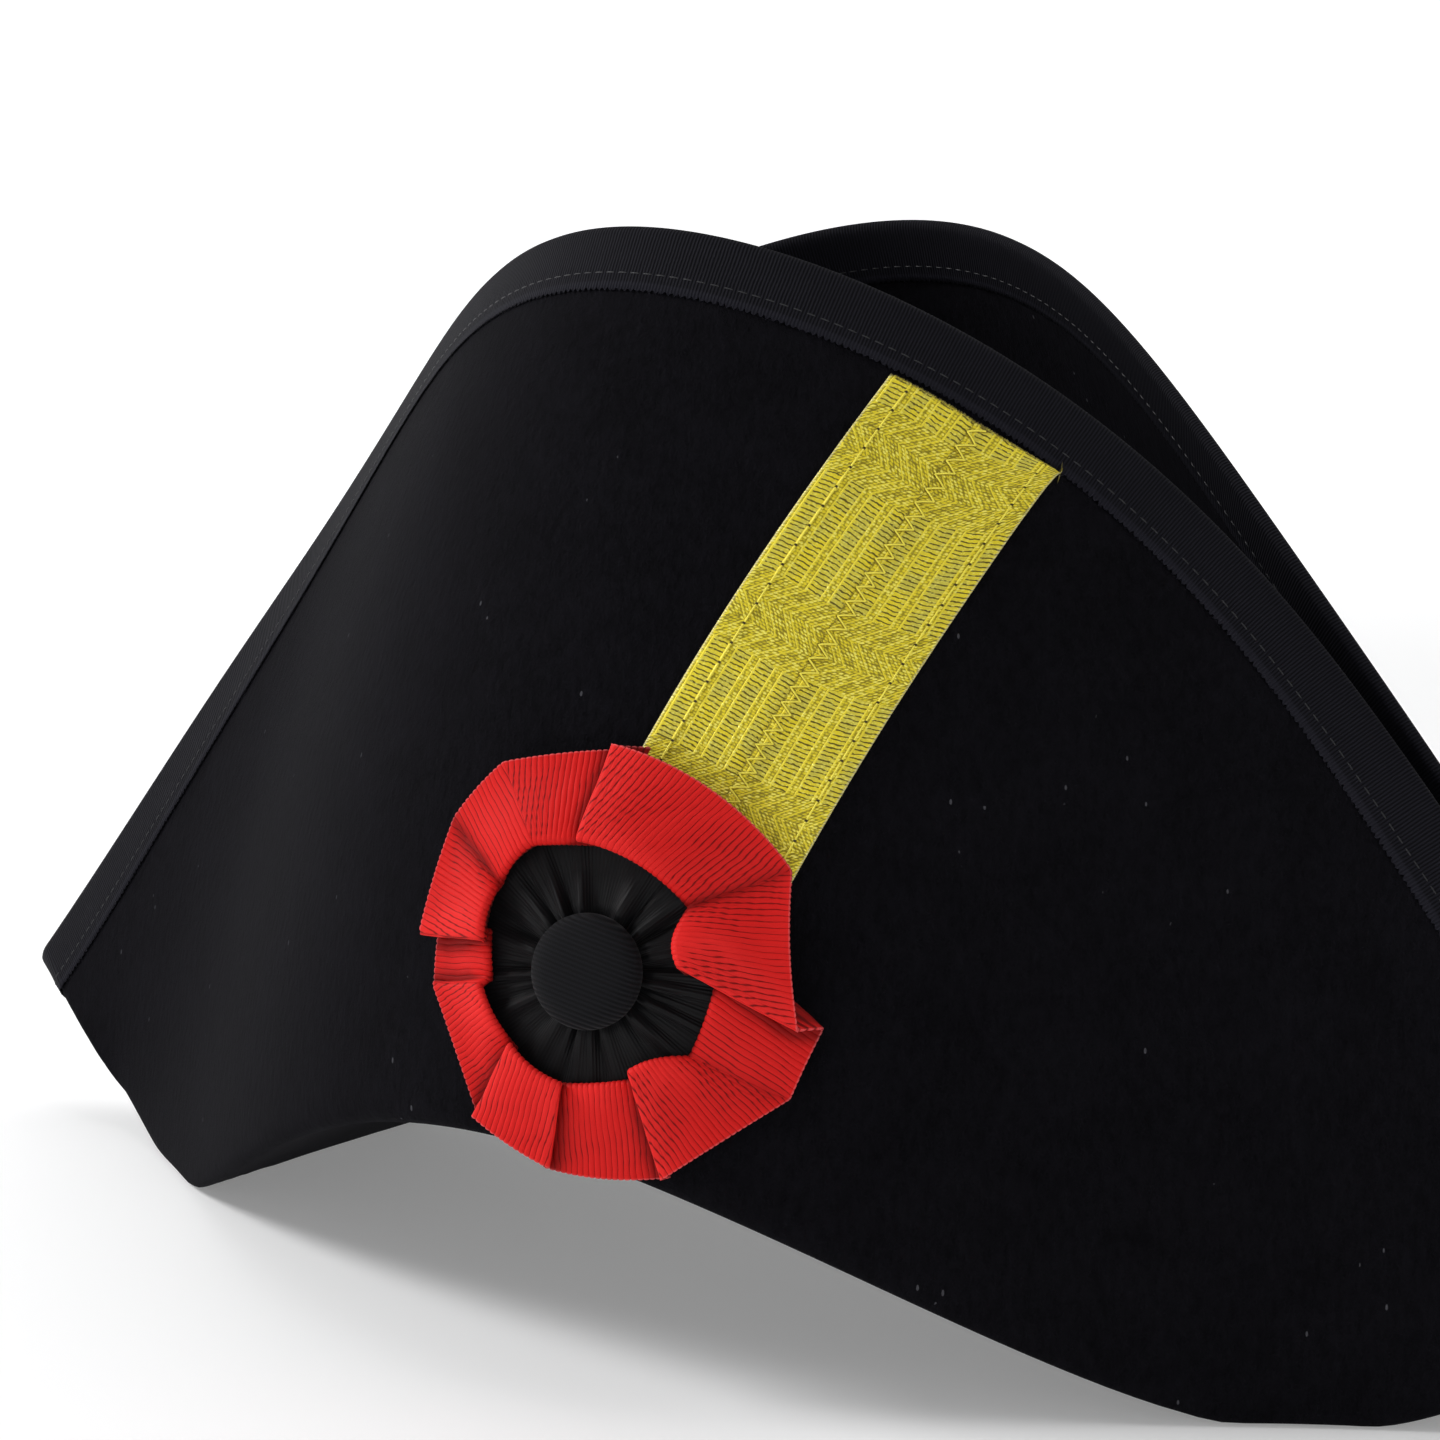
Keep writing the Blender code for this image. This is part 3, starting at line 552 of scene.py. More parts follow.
def red_paint(cockade):
    """Red grosgrain: rounded ribs with painted shade in their grooves, painted shade in the hollows between
    the folds, painted highlight on raised parts, and a paler rim that is partly painted highlight.
    """
    sheen = {"sheen_weight": 0.04, "sheen_roughness": 0.4, "sheen_tint": (1.0, 0.4, 0.35)}
    paint = Paint("bicorne_red", roughness=0.6, specular_ior_level=0.12, **sheen)
    ribs, across = paint.weave()
    ridge = abs((ribs * math.pi).sine())
    yarn = paint.noise(paint.point(ribs * 5.0, across * 60.0), scale=1.0, detail=3.0, roughness=0.6)
    tone = paint.noise(paint.point(ribs * 0.35, across * 2.0), scale=1.0)
    depth = paint.weave("depth")[0]
    # Painted highlight on the parts that stand over the ribbon around them, on top of a random tone
    lit = 1.0 - depth.between(-1.1, 0.1)
    base = paint.mix(tone * 0.3 + yarn * 0.25 + lit * 0.5, cockade.red[:], TONE_AND_HIGHLIGHT_RED)
    # Painted shade in the grooves between the ribs
    base = paint.mix(ridge.between(0.0, 0.62), shade(cockade.red, 0.24), base)
    # Painted shade in the hollows under the higher folds around them
    base = paint.mix(depth.between(0.0, 1.0) * 0.72, base, shade(cockade.red, 0.2))
    # A paler rim on the rib ends at the outer edge, partly the ribbon's edge and partly painted highlight
    # where the rib ends catch the light
    rim = across.between(0.984, 0.992) * ridge
    paint.set("Base Color", paint.mix(rim * 0.42, base, cockade.rim[:]))
    thread = paint.bump(across.wave(0.013), distance=0.03 * MM, strength=0.35)
    paint.set("Normal", paint.bump(yarn, distance=0.05 * MM, strength=0.6, under=thread))
    return paint.material


def black_ribbon_paint(cockade):
    """Black grosgrain of the gathers, with fine ribs from the button outwards."""
    sheen = {"sheen_weight": 0.05, "sheen_roughness": 0.4}
    paint = Paint("bicorne_black_ribbon", roughness=0.55, specular_ior_level=0.16, **sheen)
    ribs, across = paint.weave()
    rib = ribs.wave(1.0)
    tone = paint.noise(paint.point(ribs * 0.15, across * 3.0), scale=1.0, detail=3.0)
    # Painted light and shade: the ribs' ridges are lighter and their grooves darker, over a random tone
    lit = rib * (0.4 + tone * 0.8)
    paint.set("Base Color", paint.mix(lit, shade(cockade.black, 0.55), shade(cockade.black, 1.4)))
    paint.set("Normal", paint.bump(rib, distance=0.12 * MM, strength=0.6))
    return paint.material


def button_paint(cockade):
    """Black twill stretched over the button."""
    sheen = {"sheen_weight": 0.05, "sheen_roughness": 0.4}
    paint = Paint("bicorne_button_cloth", roughness=0.7, specular_ior_level=0.1, **sheen)
    right, up = paint.weave()
    twill = (right * 0.26 + up * 0.97).wave(0.95)
    yarn = (right * 0.97 - up * 0.26).wave(0.42)
    paint.set("Base Color", paint.mix(twill, shade(cockade.cloth, 0.5), shade(cockade.cloth, 1.5)))
    relief = paint.bump(twill, distance=0.24 * MM, strength=0.9)
    paint.set("Normal", paint.bump(yarn, distance=0.04 * MM, strength=0.5, under=relief))
    return paint.material


def floor_paint(studio):
    """Matt pale paper that also glows, faintly near the hat and more with distance: painted light that
    lifts the shadow under the hat and whitens the backdrop.
    """
    paint = Paint("bicorne_paper", roughness=0.85, specular_ior_level=0.1)
    place = paint.place()
    grain = paint.noise(place, scale=900.0)
    # Painted light: the paper's glow, growing with distance from the hat
    glow = paint.length(place).between(0.9, studio.floor_radius)
    paint.set("Emission Color", paint.mix(glow, (0.36, 0.36, 0.36), (1.0, 1.0, 1.0)))
    paint.set("Emission Strength", 0.58)
    paint.set("Base Color", paint.mix(grain, shade(studio.pale, 0.99), shade(studio.pale, 1.0)))
    return paint.material


# Meshes


def add_object(name, mesh, material):
    """One smooth object of one material, at the origin."""
    mesh.shade_smooth()
    mesh.materials.clear()
    mesh.materials.append(material)
    obj = bpy.data.objects.new(name, mesh)
    bpy.context.scene.collection.objects.link(obj)
    return obj


def finish_mesh(name, bm, material):
    """Makes the bmesh an object."""
    mesh = bpy.data.meshes.new(name)
    bm.to_mesh(mesh)
    bm.free()
    return add_object(name, mesh, material)


def cloth_grid(points, maps, closed):
    """A grid whose vertices are moved onto the points, [row][column], with its maps by name."""
    if closed:
        points = np.concatenate((points, points[:, :1]), axis=1)
    rows, columns = points.shape[:2]
    bm = bmesh.new()
    bmesh.ops.create_grid(bm, x_segments=columns - 1, y_segments=rows - 1, size=1.0)
    spots = {}
    for vert in bm.verts:
        column = round((vert.co.x + 1.0) / 2.0 * (columns - 1))
        row = round((vert.co.y + 1.0) / 2.0 * (rows - 1))
        spots[vert] = row, column
        vert.co = points[row, column]
    for name, values in maps.items():
        layer = bm.loops.layers.uv.new(name)
        for face in bm.faces:
            for loop in face.loops:
                loop[layer].uv = values[spots[loop.vert]]
    if closed:
        bmesh.ops.remove_doubles(bm, verts=bm.verts, dist=0.001 * MM)
    bmesh.ops.recalc_face_normals(bm, faces=bm.faces)
    return bm


def lay_threads(name, runs, thickness, material):
    """Round threads along the runs of points, as one mesh."""
    data = bpy.data.curves.new(name, "CURVE")
    data.dimensions = "3D"
    data.bevel_depth = thickness / 2
    data.bevel_resolution = 1
    data.use_fill_caps = True
    for run in runs:
        spline = data.splines.new("POLY")
        spline.points.add(len(run) - 1)
        for point, spot in zip(spline.points, run):
            point.co = (*spot, 1.0)
    line = bpy.data.objects.new(name + "_line", data)
    mesh = bpy.data.meshes.new_from_object(line)
    bpy.data.objects.remove(line)
    bpy.data.curves.remove(data)
    mesh.name = name
    threads = add_object(name, mesh, material)
    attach(threads, "root")
    return threads


def turn_profile(spots, centre, axis, steps):
    """The surface that a line of points makes in one turn around an axis."""
    bm = bmesh.new()
    verts = [bm.verts.new(spot) for spot in spots]
    edges = [bm.edges.new(pair) for pair in zip(verts, verts[1:])]
    bmesh.ops.spin(
        bm,
        geom=verts + edges,
        cent=centre,
        axis=axis,
        angle=2.0 * math.pi,
        steps=steps,
        use_merge=True,
        use_duplicate=False,
    )
    bmesh.ops.remove_doubles(bm, verts=bm.verts, dist=0.005 * MM)
    bmesh.ops.recalc_face_normals(bm, faces=bm.faces)
    return bm


def finish_sheet(name, bm, material, wall, node, slot, even=True):
    """Makes the bmesh a wall, half to each side, that replaces a CAD node and rides on the hat."""
    sheet = finish_mesh(name, bm, material)
    made = sheet.modifiers.new("wall", "SOLIDIFY")
    made.thickness = wall
    made.offset = 0.0
    made.use_even_offset = even
    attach(sheet, "root")
    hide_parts(node)
    return sheet


def blurred(values, axis, reach, spread):
    """Bell-weighted means along a closed axis of the values."""
    steps = np.arange(-reach, reach + 1)
    weights = np.exp(-0.5 * (steps / spread) ** 2)
    weights = weights / weights.sum()
    return sum(np.roll(values, step, axis=axis) * weight for step, weight in zip(steps, weights))


def moved(points):
    """From the hat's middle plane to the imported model's place."""
    return points + np.array((0.0, MIDDLE_Y, 0.0))


# The felt's surface


def arch(felt, x):
    """Height of the felt's underside over the resting plane, at a distance from the centre."""
    reach = felt.horn_reach - felt.arch_inset
    arched = felt.arch_height * np.cos(np.pi / 2 * np.minimum(x / reach, 1.0)) ** ARCH_FALL
    keel = np.maximum(x - felt.horn_reach + felt.keel_length, 0.0) / felt.keel_length
    return arched + felt.tip_height * keel**KEEL_CURVE


def brim_anchors(felt, steps, height, depth):
    """The crown's foot, the fold's corner and the edge on a quarter's spokes, all at x and y >= 0."""
    nose = np.maximum(steps - EDGE_STEPS, 0.0) / NOSE_STEPS * np.pi / 2
    along = np.minimum(steps / EDGE_STEPS, 1.0)
    turn = steps / (EDGE_STEPS + NOSE_STEPS) * np.pi / 2
    foot_x = felt.crown_half_width * np.sin(turn)
    foot_y = felt.crown_half_length * np.cos(turn)
    foot = np.stack((foot_x, foot_y, arch(felt, foot_x) + felt.wall / 2), axis=-1)
    fold_reach = felt.horn_reach - felt.fold_inset - felt.fold_nose
    fold_x = fold_reach * np.sin(np.pi / 2 * along) ** FOLD_SPREAD
    fall = np.cos(np.pi / 2 * fold_x / felt.horn_reach)
    fold_y = np.hypot(felt.fold_nose, felt.fold_depth * fall**FOLD_PINCH) * np.cos(nose)
    fold_x = fold_x + felt.fold_nose * np.sin(nose)
    fold = np.stack((fold_x, fold_y, arch(felt, fold_x) + felt.wall / 2), axis=-1)
    edge_x = along * (felt.horn_reach - felt.horn_nose)
    fall = np.cos(np.pi / 2 * edge_x / felt.horn_reach)
    edge_y = np.hypot(felt.horn_nose, depth * fall**EDGE_PINCH) * np.cos(nose)
    rise = (height - felt.tip_height) * fall**EDGE_FALL * (1.0 - np.sin(nose))
    edge = np.stack((edge_x + felt.horn_nose * np.sin(nose), edge_y, felt.tip_height + rise), axis=-1)
    return foot, fold, edge


def flap_point(fold, edge, share):
    """Point between the fold's corner and the edge. The flap leaves the fold upright and leans over."""
    point = fold + (edge - fold) * share
    point[..., 1] = fold[..., 1] + (edge[..., 1] - fold[..., 1]) * np.squeeze(share, -1) ** FLAP_BULGE
    return point


def binding_insets(fold, edge, width):
    """The binding's width along each spoke, even when measured square to the edge."""
    along_edge = np.gradient(edge, axis=0)
    along_edge[0] = (1.0, 0.0, 0.0)
    along_edge[-1] = (0.0, 1.0, 0.0)
    along_spoke = unit(edge - flap_point(fold, edge, np.array([SLOPE_AT])))
    return width / np.linalg.norm(np.cross(unit(along_edge), along_spoke), axis=-1)


def quarter_rings(felt, steps, height, depth, inset_width):
    """The felt's middle on a quarter's spokes as [ring][spoke], from the crown's top to the edge."""
    foot, fold, edge = brim_anchors(felt, steps, height, depth)
    flat = (fold - foot) * (1.0, 1.0, 0.0)
    radius = np.minimum(felt.fold_radius, FOLD_SHARE * np.linalg.norm(flat, axis=-1))[:, None]
    step_out = unit(flat) * radius
    wall_foot = foot + radius * (0.0, 0.0, 1.0)

    def floor(point):
        point = point.copy()
        point[..., 2] = arch(felt, point[..., 0]) + felt.wall / 2
        return point

    def fillet(start, corner, end):
        return [start * (1 - s) ** 2 + corner * 2 * s * (1 - s) + end * s**2 for s in FILLET_SHARES]

    rings = []
    for share in CROWN_SHARES:
        point = foot * (1.0 - share**CROWN_FULLNESS) ** (1.0 / CROWN_FULLNESS)
        point[:, 2] = wall_foot[:, 2] + (felt.crown_top - wall_foot[:, 2]) * share
        rings.append(point)
    start, end = floor(foot + step_out), floor(fold - step_out)
    rings += fillet(wall_foot, foot, start)
    rings += [floor(start + (end - start) * share) for share in FLOOR_SHARES]
    start_share = radius / np.linalg.norm(edge - fold, axis=-1)[:, None]
    rings += fillet(end, fold, flap_point(fold, edge, start_share))
    shares = np.linspace(0.0, 1.0, FLAP_SAMPLES)[:, None, None]
    line = flap_point(fold, edge, start_share + (1.0 - start_share) * shares)
    steps_up = np.linalg.norm(np.diff(line, axis=0), axis=-1)
    lengths = np.concatenate((np.zeros((1, len(steps))), np.cumsum(steps_up, axis=0)))
    insets = binding_insets(fold, edge, inset_width)
    flap = np.zeros((len(FLAP_SHARES) + len(EDGE_SHARES), len(steps), 3))
    for spoke, inset in enumerate(insets):
        whole = lengths[-1, spoke]
        wanted = np.concatenate(((whole - inset) * FLAP_SHARES, whole - inset * EDGE_SHARES))
        for axis in range(3):
            flap[:, spoke, axis] = np.interp(wanted, lengths[:, spoke], line[:, spoke, axis])
    return np.concatenate((np.array(rings), flap))


def brim_surface(scene, per_step):
    """The middle of the felt as [ring][spoke], anticlockwise from the front centre."""
    felt, inset = scene.bicorne_felt, scene.bicorne_binding.width
    steps = np.arange((EDGE_STEPS + NOSE_STEPS) * per_step + 1) / per_step
    front = quarter_rings(felt, steps, felt.front_height, felt.front_depth, inset)
    rear = quarter_rings(felt, steps, felt.rear_height, felt.rear_depth, inset)
    quarters = (
        front[:, :-1] * (1, -1, 1),
        rear[:, :0:-1],
        rear[:, :-1] * (-1, 1, 1),
        front[:, :0:-1] * (-1, -1, 1),
    )
    return moved(np.concatenate(quarters, axis=1))


def sheet_normals(points, closed=True):
    """Normals of a surface of points, [row][column]."""
    if closed:
        around = np.roll(points, -1, axis=1) - np.roll(points, 1, axis=1)
    else:
        around = np.gradient(points, axis=1)
    return unit(np.cross(np.gradient(points, axis=0), around))


class FeltTouch:
    """Finds the felt's outside by rays."""

    def __init__(self, scene):
        self.felt = bpy.data.objects["felt_hat"].evaluated_get(bpy.context.evaluated_depsgraph_get())
        self.far = -2.0 * scene.bicorne_felt.fold_depth

    def hit(self, start, direction):
        found, point, _, _ = self.felt.ray_cast(Vector(start), Vector(direction))
        if not found:
            raise RuntimeError("no felt lies under this piece")
        return np.array(point)

    def front(self, x, z):
        return self.hit((x, self.far, z), (0.0, 1.0, 0.0))


# The cockade's place


class CockadePlace:
    """Centre and axes of the cockade on the front flap, and the felt's curve under it."""

    MARKS = 9
    MARKS_SHARE = 0.6

    def __init__(self, scene):
        cockade = scene.bicorne_cockade
        touch = FeltTouch(scene)
        reach = self.MARKS_SHARE * cockade.radius

        def front(right, up):
            return touch.front(cockade.right + right, cockade.height + up)

        centre = front(0.0, 0.0)
        across = front(reach, 0.0) - front(-reach, 0.0)
        upright = front(0.0, reach) - front(0.0, -reach)
        self.out = unit(np.cross(across, upright))
        self.right = unit(across)
        self.up = np.cross(self.out, self.right)
        pairs = (front(reach, 0.0) + front(-reach, 0.0), front(0.0, reach) + front(0.0, -reach))
        bends = [max((centre - pair / 2) @ self.out, 0.0) / reach**2 for pair in pairs]
        self.bends = np.array(bends) * cockade.drape
        steps = np.linspace(-reach, reach, self.MARKS)
        marks = [front(a, b) - centre for a in steps for b in steps]
        lift = max(mark @ self.out - self.base(mark @ self.right, mark @ self.up) for mark in marks)
        self.centre = centre + self.out * lift

    def base(self, across, up):
        """How far the cockade's base lies under its own plane."""
        return -(self.bends[0] * across**2 + self.bends[1] * up**2)

    def points(self, across, up, height, shift=0.0):
        across = across + shift
        flat = across[..., None] * self.right + up[..., None] * self.up
        return self.centre + flat + (self.base(across, up) + height)[..., None] * self.out


def gather_crest(cockade, radius):
    """Height of the gathers' highest folds over the felt, to the middle of the ribbon."""
    hole = cockade.button - cockade.gather_tuck
    swell = np.interp((radius - hole) / (cockade.gather_reach - hole), *zip(*GATHER_SWELL))
    return cockade.seat + cockade.gather_rise * swell


def fold_corner(end, radius):
    """A fold's end as the inner and outer point on the cockade's plane and the rise."""
    inner_angle, inner_share, outer_angle, outer_share, rise = end
    corner = []
    for degrees, share in ((inner_angle, inner_share), (outer_angle, outer_share)):
        turn = math.radians(degrees)
        corner += [radius * share * math.cos(turn), radius * share * math.sin(turn)]
    return np.array((*corner, rise))


# Operators


class BICORNE_OT_felt(bpy.types.Operator):
    """Make the felt crown and brim"""

    bl_idname = "bicorne.felt"
    bl_label = "Felt"

    def execute(self, context):
        felt = context.scene.bicorne_felt
        bm = cloth_grid(brim_surface(context.scene, SPOKES), {}, True)
        finish_sheet("felt_hat", bm, felt_paint(felt), felt.wall, "felt_body", "black_felt")
        return {"FINISHED"}


class BICORNE_OT_binding(bpy.types.Operator):
    """Make the ribbon over the brim's edge and its stitches"""

    bl_idname = "bicorne.binding"
    bl_label = "Binding"

    LIP_TURNS = np.radians(np.linspace(-90.0, 90.0, 9)[1:-1])
    PUCKER = 0.12 * MM
    PUCKER_REACH = 2.2 * MM
    STITCH_ENDS = (0.14, 0.86)  # shares of a stitch's length
    STITCH_POINTS = 5
    STITCH_BOW, STITCH_SUNK = 0.75, 0.45  # shares of the thread

    def execute(self, context):
        scene = context.scene
        felt, binding = scene.bicorne_felt, scene.bicorne_binding
        surface = brim_surface(scene, RIBBON_SPOKES)[-len(EDGE_SHARES) - 1 :]
        normals = sheet_normals(surface)[1:]
        rings = surface[1:]
        edge, edge_normal = rings[-1], normals[-1]
        outward = unit(rings[-1] - rings[-2])
        ahead = unit(np.roll(edge, -1, axis=0) - np.roll(edge, 1, axis=0))
        along = self.run_lengths(edge)
        off = felt.wall / 2 + binding.seat + binding.wall / 2
        widths = EDGE_SHARES * binding.width
        seam = self.run_lengths(self.seam_line(binding, rings, widths))
        stitch = seam[-1] / round(seam[-1] / binding.stitch)
        wave = 0.5 - 0.5 * np.cos(2.0 * np.pi * seam[:-1] / stitch)

        def limb(side):
            drawn = np.exp(-(((widths - binding.stitch_drop) / self.PUCKER_REACH) ** 2))[:, None]
            lift = off + self.PUCKER * wave * drawn
            return rings + side * normals * lift[..., None]

        lip = off + binding.crown
        turns = [
            edge + outward * lip * math.cos(turn) + edge_normal * off * math.sin(turn)
            for turn in self.LIP_TURNS
        ]
        section = np.concatenate((limb(-1.0), np.array(turns), limb(1.0)[::-1]))
        slant = ((section - edge) * ahead).sum(axis=-1)
        steps = np.diff(section - slant[..., None] * ahead, axis=0)
        spread = np.linalg.norm(steps, axis=-1).mean(axis=1)
        across = np.concatenate(((0.0,), np.cumsum(spread)))
        weave = np.zeros((len(section), len(along), 2))
        weave[..., 0] = (along + np.concatenate((slant, slant[:, :1]), axis=1)) / MM
        weave[..., 1] = across[:, None] / MM
        bm = cloth_grid(section, {"weave": weave}, True)
        paint = binding_paint(binding, across[-1] / 2 / MM)
        ribbon = finish_sheet(
            "binding_ribbon", bm, paint, binding.wall, "brim_binding", "black_grosgrain"
        )
        stitches = self.make_stitches(binding, rings, normals, seam, widths, stitch, off)
        return {"FINISHED"}

    def run_lengths(self, line):
        """Lengths along a closed line, from its first point back to it."""
        steps = np.linalg.norm(np.roll(line, -1, axis=0) - line, axis=-1)
        return np.concatenate(((0.0,), np.cumsum(steps)))

    def seam_line(self, binding, rings, widths):
        """Where the line of the stitches crosses the spokes."""
        order = np.argsort(widths)
        return np.array(
            [
                [np.interp(binding.stitch_drop, widths[order], spoke[order, axis]) for axis in range(3)]
                for spoke in rings.transpose(1, 0, 2)
            ]
        )

    def make_stitches(self, binding, rings, normals, seam, widths, stitch, off):
        """Short threads on both sides of the edge, lying a little sunk in the ribbon."""
        count = round(seam[-1] / stitch)
        places = (np.arange(count)[:, None] + np.linspace(*self.STITCH_ENDS, self.STITCH_POINTS)) * stitch
        bow = np.sin(np.pi * np.linspace(0.0, 1.0, self.STITCH_POINTS)) * self.STITCH_BOW
        sunk = THREAD * (bow - self.STITCH_SUNK)
        middle_ring = len(EDGE_SHARES) // 2
        runs = []
        for side in (-1.0, 1.0):
            rings_out = rings + side * normals * (off + binding.wall / 2)
            line = self.seam_line(binding, rings_out, widths)
            line = np.concatenate((line, line[:1]))
            facing = side * np.concatenate((normals[middle_ring], normals[middle_ring, :1]))
            for spots in places:
                at = [np.interp(spots, seam, line[:, axis]) for axis in range(3)]
                out = [np.interp(spots, seam, facing[:, axis]) for axis in range(3)]
                runs.append((np.array(at) + np.array(out) * sunk).T)
        paint = thread_paint("bicorne_black_thread", binding.thread[:], 0.5)
        return lay_threads("binding_stitches", runs, THREAD, paint)


class BICORNE_OT_braid(bpy.types.Operator):
    """Make the metallic braid, its seam and its edge stitches"""

    bl_idname = "bicorne.braid"
    bl_label = "Braid"

    COLUMNS = 120
    ROWS = 270
    LONGEST = 125.0 * MM
    HALVINGS = 24  # of the length, to find where the top end meets the binding
    MARKS = (26, 9)  # spots on the felt that the surface is fitted to, along and across
    POWERS = (5, 7)  # terms of the fitted surface, across and along
    GROOVE_HALF = 0.7 * MM
    EDGE_DROP = 0.25 * MM  # how far the edges round down
    EDGE_ROUND = 1.2 * MM  # and over what width
    SEAM_INSET = 1.0 * MM
    SEAM_SWAY = 0.18 * MM
    SWAY_TURN = 1.7  # radians from one zigzag leg to the next
    LEG_SHARES = np.linspace(0.0, 1.0, 6)
    LEG_LIFT = (1.1, 1.2)  # of a leg's ends off the braid, and of its middle over them, in thread radii
    STITCH_SHARES = np.linspace(0.06, 0.94, 7)
    STITCH_LIFT = (-0.2, 1.5)

    def execute(self, context):
        scene = context.scene
        braid, cockade = scene.bicorne_braid, scene.bicorne_cockade
        place = CockadePlace(scene)
        touch = FeltTouch(scene)
        run = np.array((math.sin(braid.tilt), 0.0, math.cos(braid.tilt)))
        aside = np.array((math.cos(braid.tilt), 0.0, -math.sin(braid.tilt)))
        foot = place.centre + np.array((braid.offset, 0.0, 0.0))
        reach = scene.bicorne_felt.fold_radius
        edge = brim_surface(scene, 4)[-len(EDGE_SHARES)]
        front = edge[edge[:, 1] < 0.0]
        front = front[np.argsort(front[:, 0])]

        def spine(distance):
            spot = foot + run * distance
            return touch.front(spot[0], spot[2])

        def on_felt(distance, across):
            base = spine(distance)
            ahead = unit(spine(distance + reach) - spine(distance - reach))
            sides = [touch.front(*(base + aside * step)[[0, 2]]) for step in (-2.0 * reach, 2.0 * reach)]
            out = unit(np.cross(sides[1] - sides[0], ahead))
            start = base + np.cross(ahead, out) * across + out * braid.width
            return touch.hit(start, -out)

        def top_distance(across):
            low, high = 0.0, self.LONGEST
            for _ in range(self.HALVINGS):
                half = (low + high) / 2
                point = on_felt(half, across)
                limit = np.interp(point[0], front[:, 0], front[:, 2]) - braid.end_gap
                low, high = (half, high) if point[2] < limit else (low, half)
            return low

        shares = np.linspace(0.0, 1.0, self.MARKS[0])
        across = np.linspace(-0.5, 0.5, self.MARKS[1]) * braid.width
        tops = [top_distance(step) for step in across]
        marks = [on_felt(top * share, step) for share in shares for top, step in zip(tops, across)]

        def terms(a, s):
            """Powers of the shares across and along, a column for each term."""
            a, s = np.meshgrid(a, s)
            powers = ((i, j) for i in range(self.POWERS[0]) for j in range(self.POWERS[1]))
            return np.stack([(2.0 * a) ** i * s**j for i, j in powers], axis=-1)

        coarse = terms(across / braid.width, shares).reshape(len(marks), -1)
        fit = np.linalg.lstsq(coarse, np.array(marks), rcond=None)[0]
        fine_a, fine_s = np.linspace(-0.5, 0.5, self.COLUMNS + 1), np.linspace(0.0, 1.0, self.ROWS + 1)
        felt_line = terms(fine_a, fine_s) @ fit
        normals = sheet_normals(felt_line, False)
        if normals[0, 0] @ place.out < 0.0:
            normals = -normals
        self.lengths = np.linalg.norm(np.diff(felt_line[:, self.COLUMNS // 2], axis=0), axis=-1).sum()
        width = fine_a * braid.width
        dip = braid.groove * np.exp(-((width / self.GROOVE_HALF) ** 2))
        rounded = self.EDGE_DROP * smooth((0.5 - np.abs(fine_a)) * braid.width / self.EDGE_ROUND)
        top = braid.seat + braid.wall / 2 - dip + rounded - self.EDGE_DROP
        band = felt_line + normals * top[:, None]
        weave = np.meshgrid(width / MM + BRAID_MIDDLE, (1.0 - fine_s) * self.lengths / MM)
        bm = cloth_grid(band, {"weave": np.stack(weave, axis=-1)}, False)
        paint = braid_paint(braid)
        strips = finish_sheet("braid_strips", bm, paint, braid.wall, "gold_braid", "gold_braid")
        sewing = self.make_sewing(braid, band + normals * braid.wall / 2, normals)
        return {"FINISHED"}

    def make_sewing(self, braid, surface, normals):
        """The zigzag over the seam and the straight stitches along both edges, as round threads."""
        radius = GOLD_THREAD / 2
        runs = []

        def at(across, distance, lift):
            """The place on the braid's surface, lifted off it."""
            row = min(max((1.0 - distance / self.lengths) * self.ROWS, 0.0), self.ROWS - 1e-6)
            column = (across / braid.width + 0.5) * self.COLUMNS
            low, part = int(row), row - int(row)
            left, side = int(column), column - int(column)
            spot = 0.0
            for i, row_share in ((0, 1 - part), (1, part)):
                for j, column_share in ((0, 1 - side), (1, side)):
                    corner = surface[low + i, left + j] + normals[low + i, left + j] * lift
                    spot = spot + corner * (row_share * column_share)
            return spot

        def thread(middle, swing, start, step, shares, lift):
            """One stitch, swinging from left to right and bowing off the braid."""
            return [
                at(
                    middle + swing * (2.0 * share - 1.0),
                    start + step * share,
                    radius * (lift[0] + lift[1] * math.sin(math.pi * share)),
                )
                for share in shares
            ]

        leg, half = braid.zigzag / 2, braid.zigzag_width / 2
        for number in range(int((self.lengths - 2.0 * self.SEAM_INSET) / leg)):
            middle = braid.zigzag_right + self.SEAM_SWAY * math.sin(number * self.SWAY_TURN)
            swing = half if number % 2 else -half
            start = self.SEAM_INSET + number * leg
            runs.append(thread(middle, swing, start, leg, self.LEG_SHARES, self.LEG_LIFT))
        for right, first in EDGE_STITCHES:
            for number in range(int(self.lengths / braid.stitch) - 1):
                start = (number + first) * braid.stitch
                run = thread(right * MM, 0.0, start, braid.stitch, self.STITCH_SHARES, self.STITCH_LIFT)
                runs.append(run)
        paint = thread_paint("bicorne_gold_thread", braid.thread[:], 0.45, 0.2)
        sewing = lay_threads("braid_sewing", runs, GOLD_THREAD, paint)
        return sewing


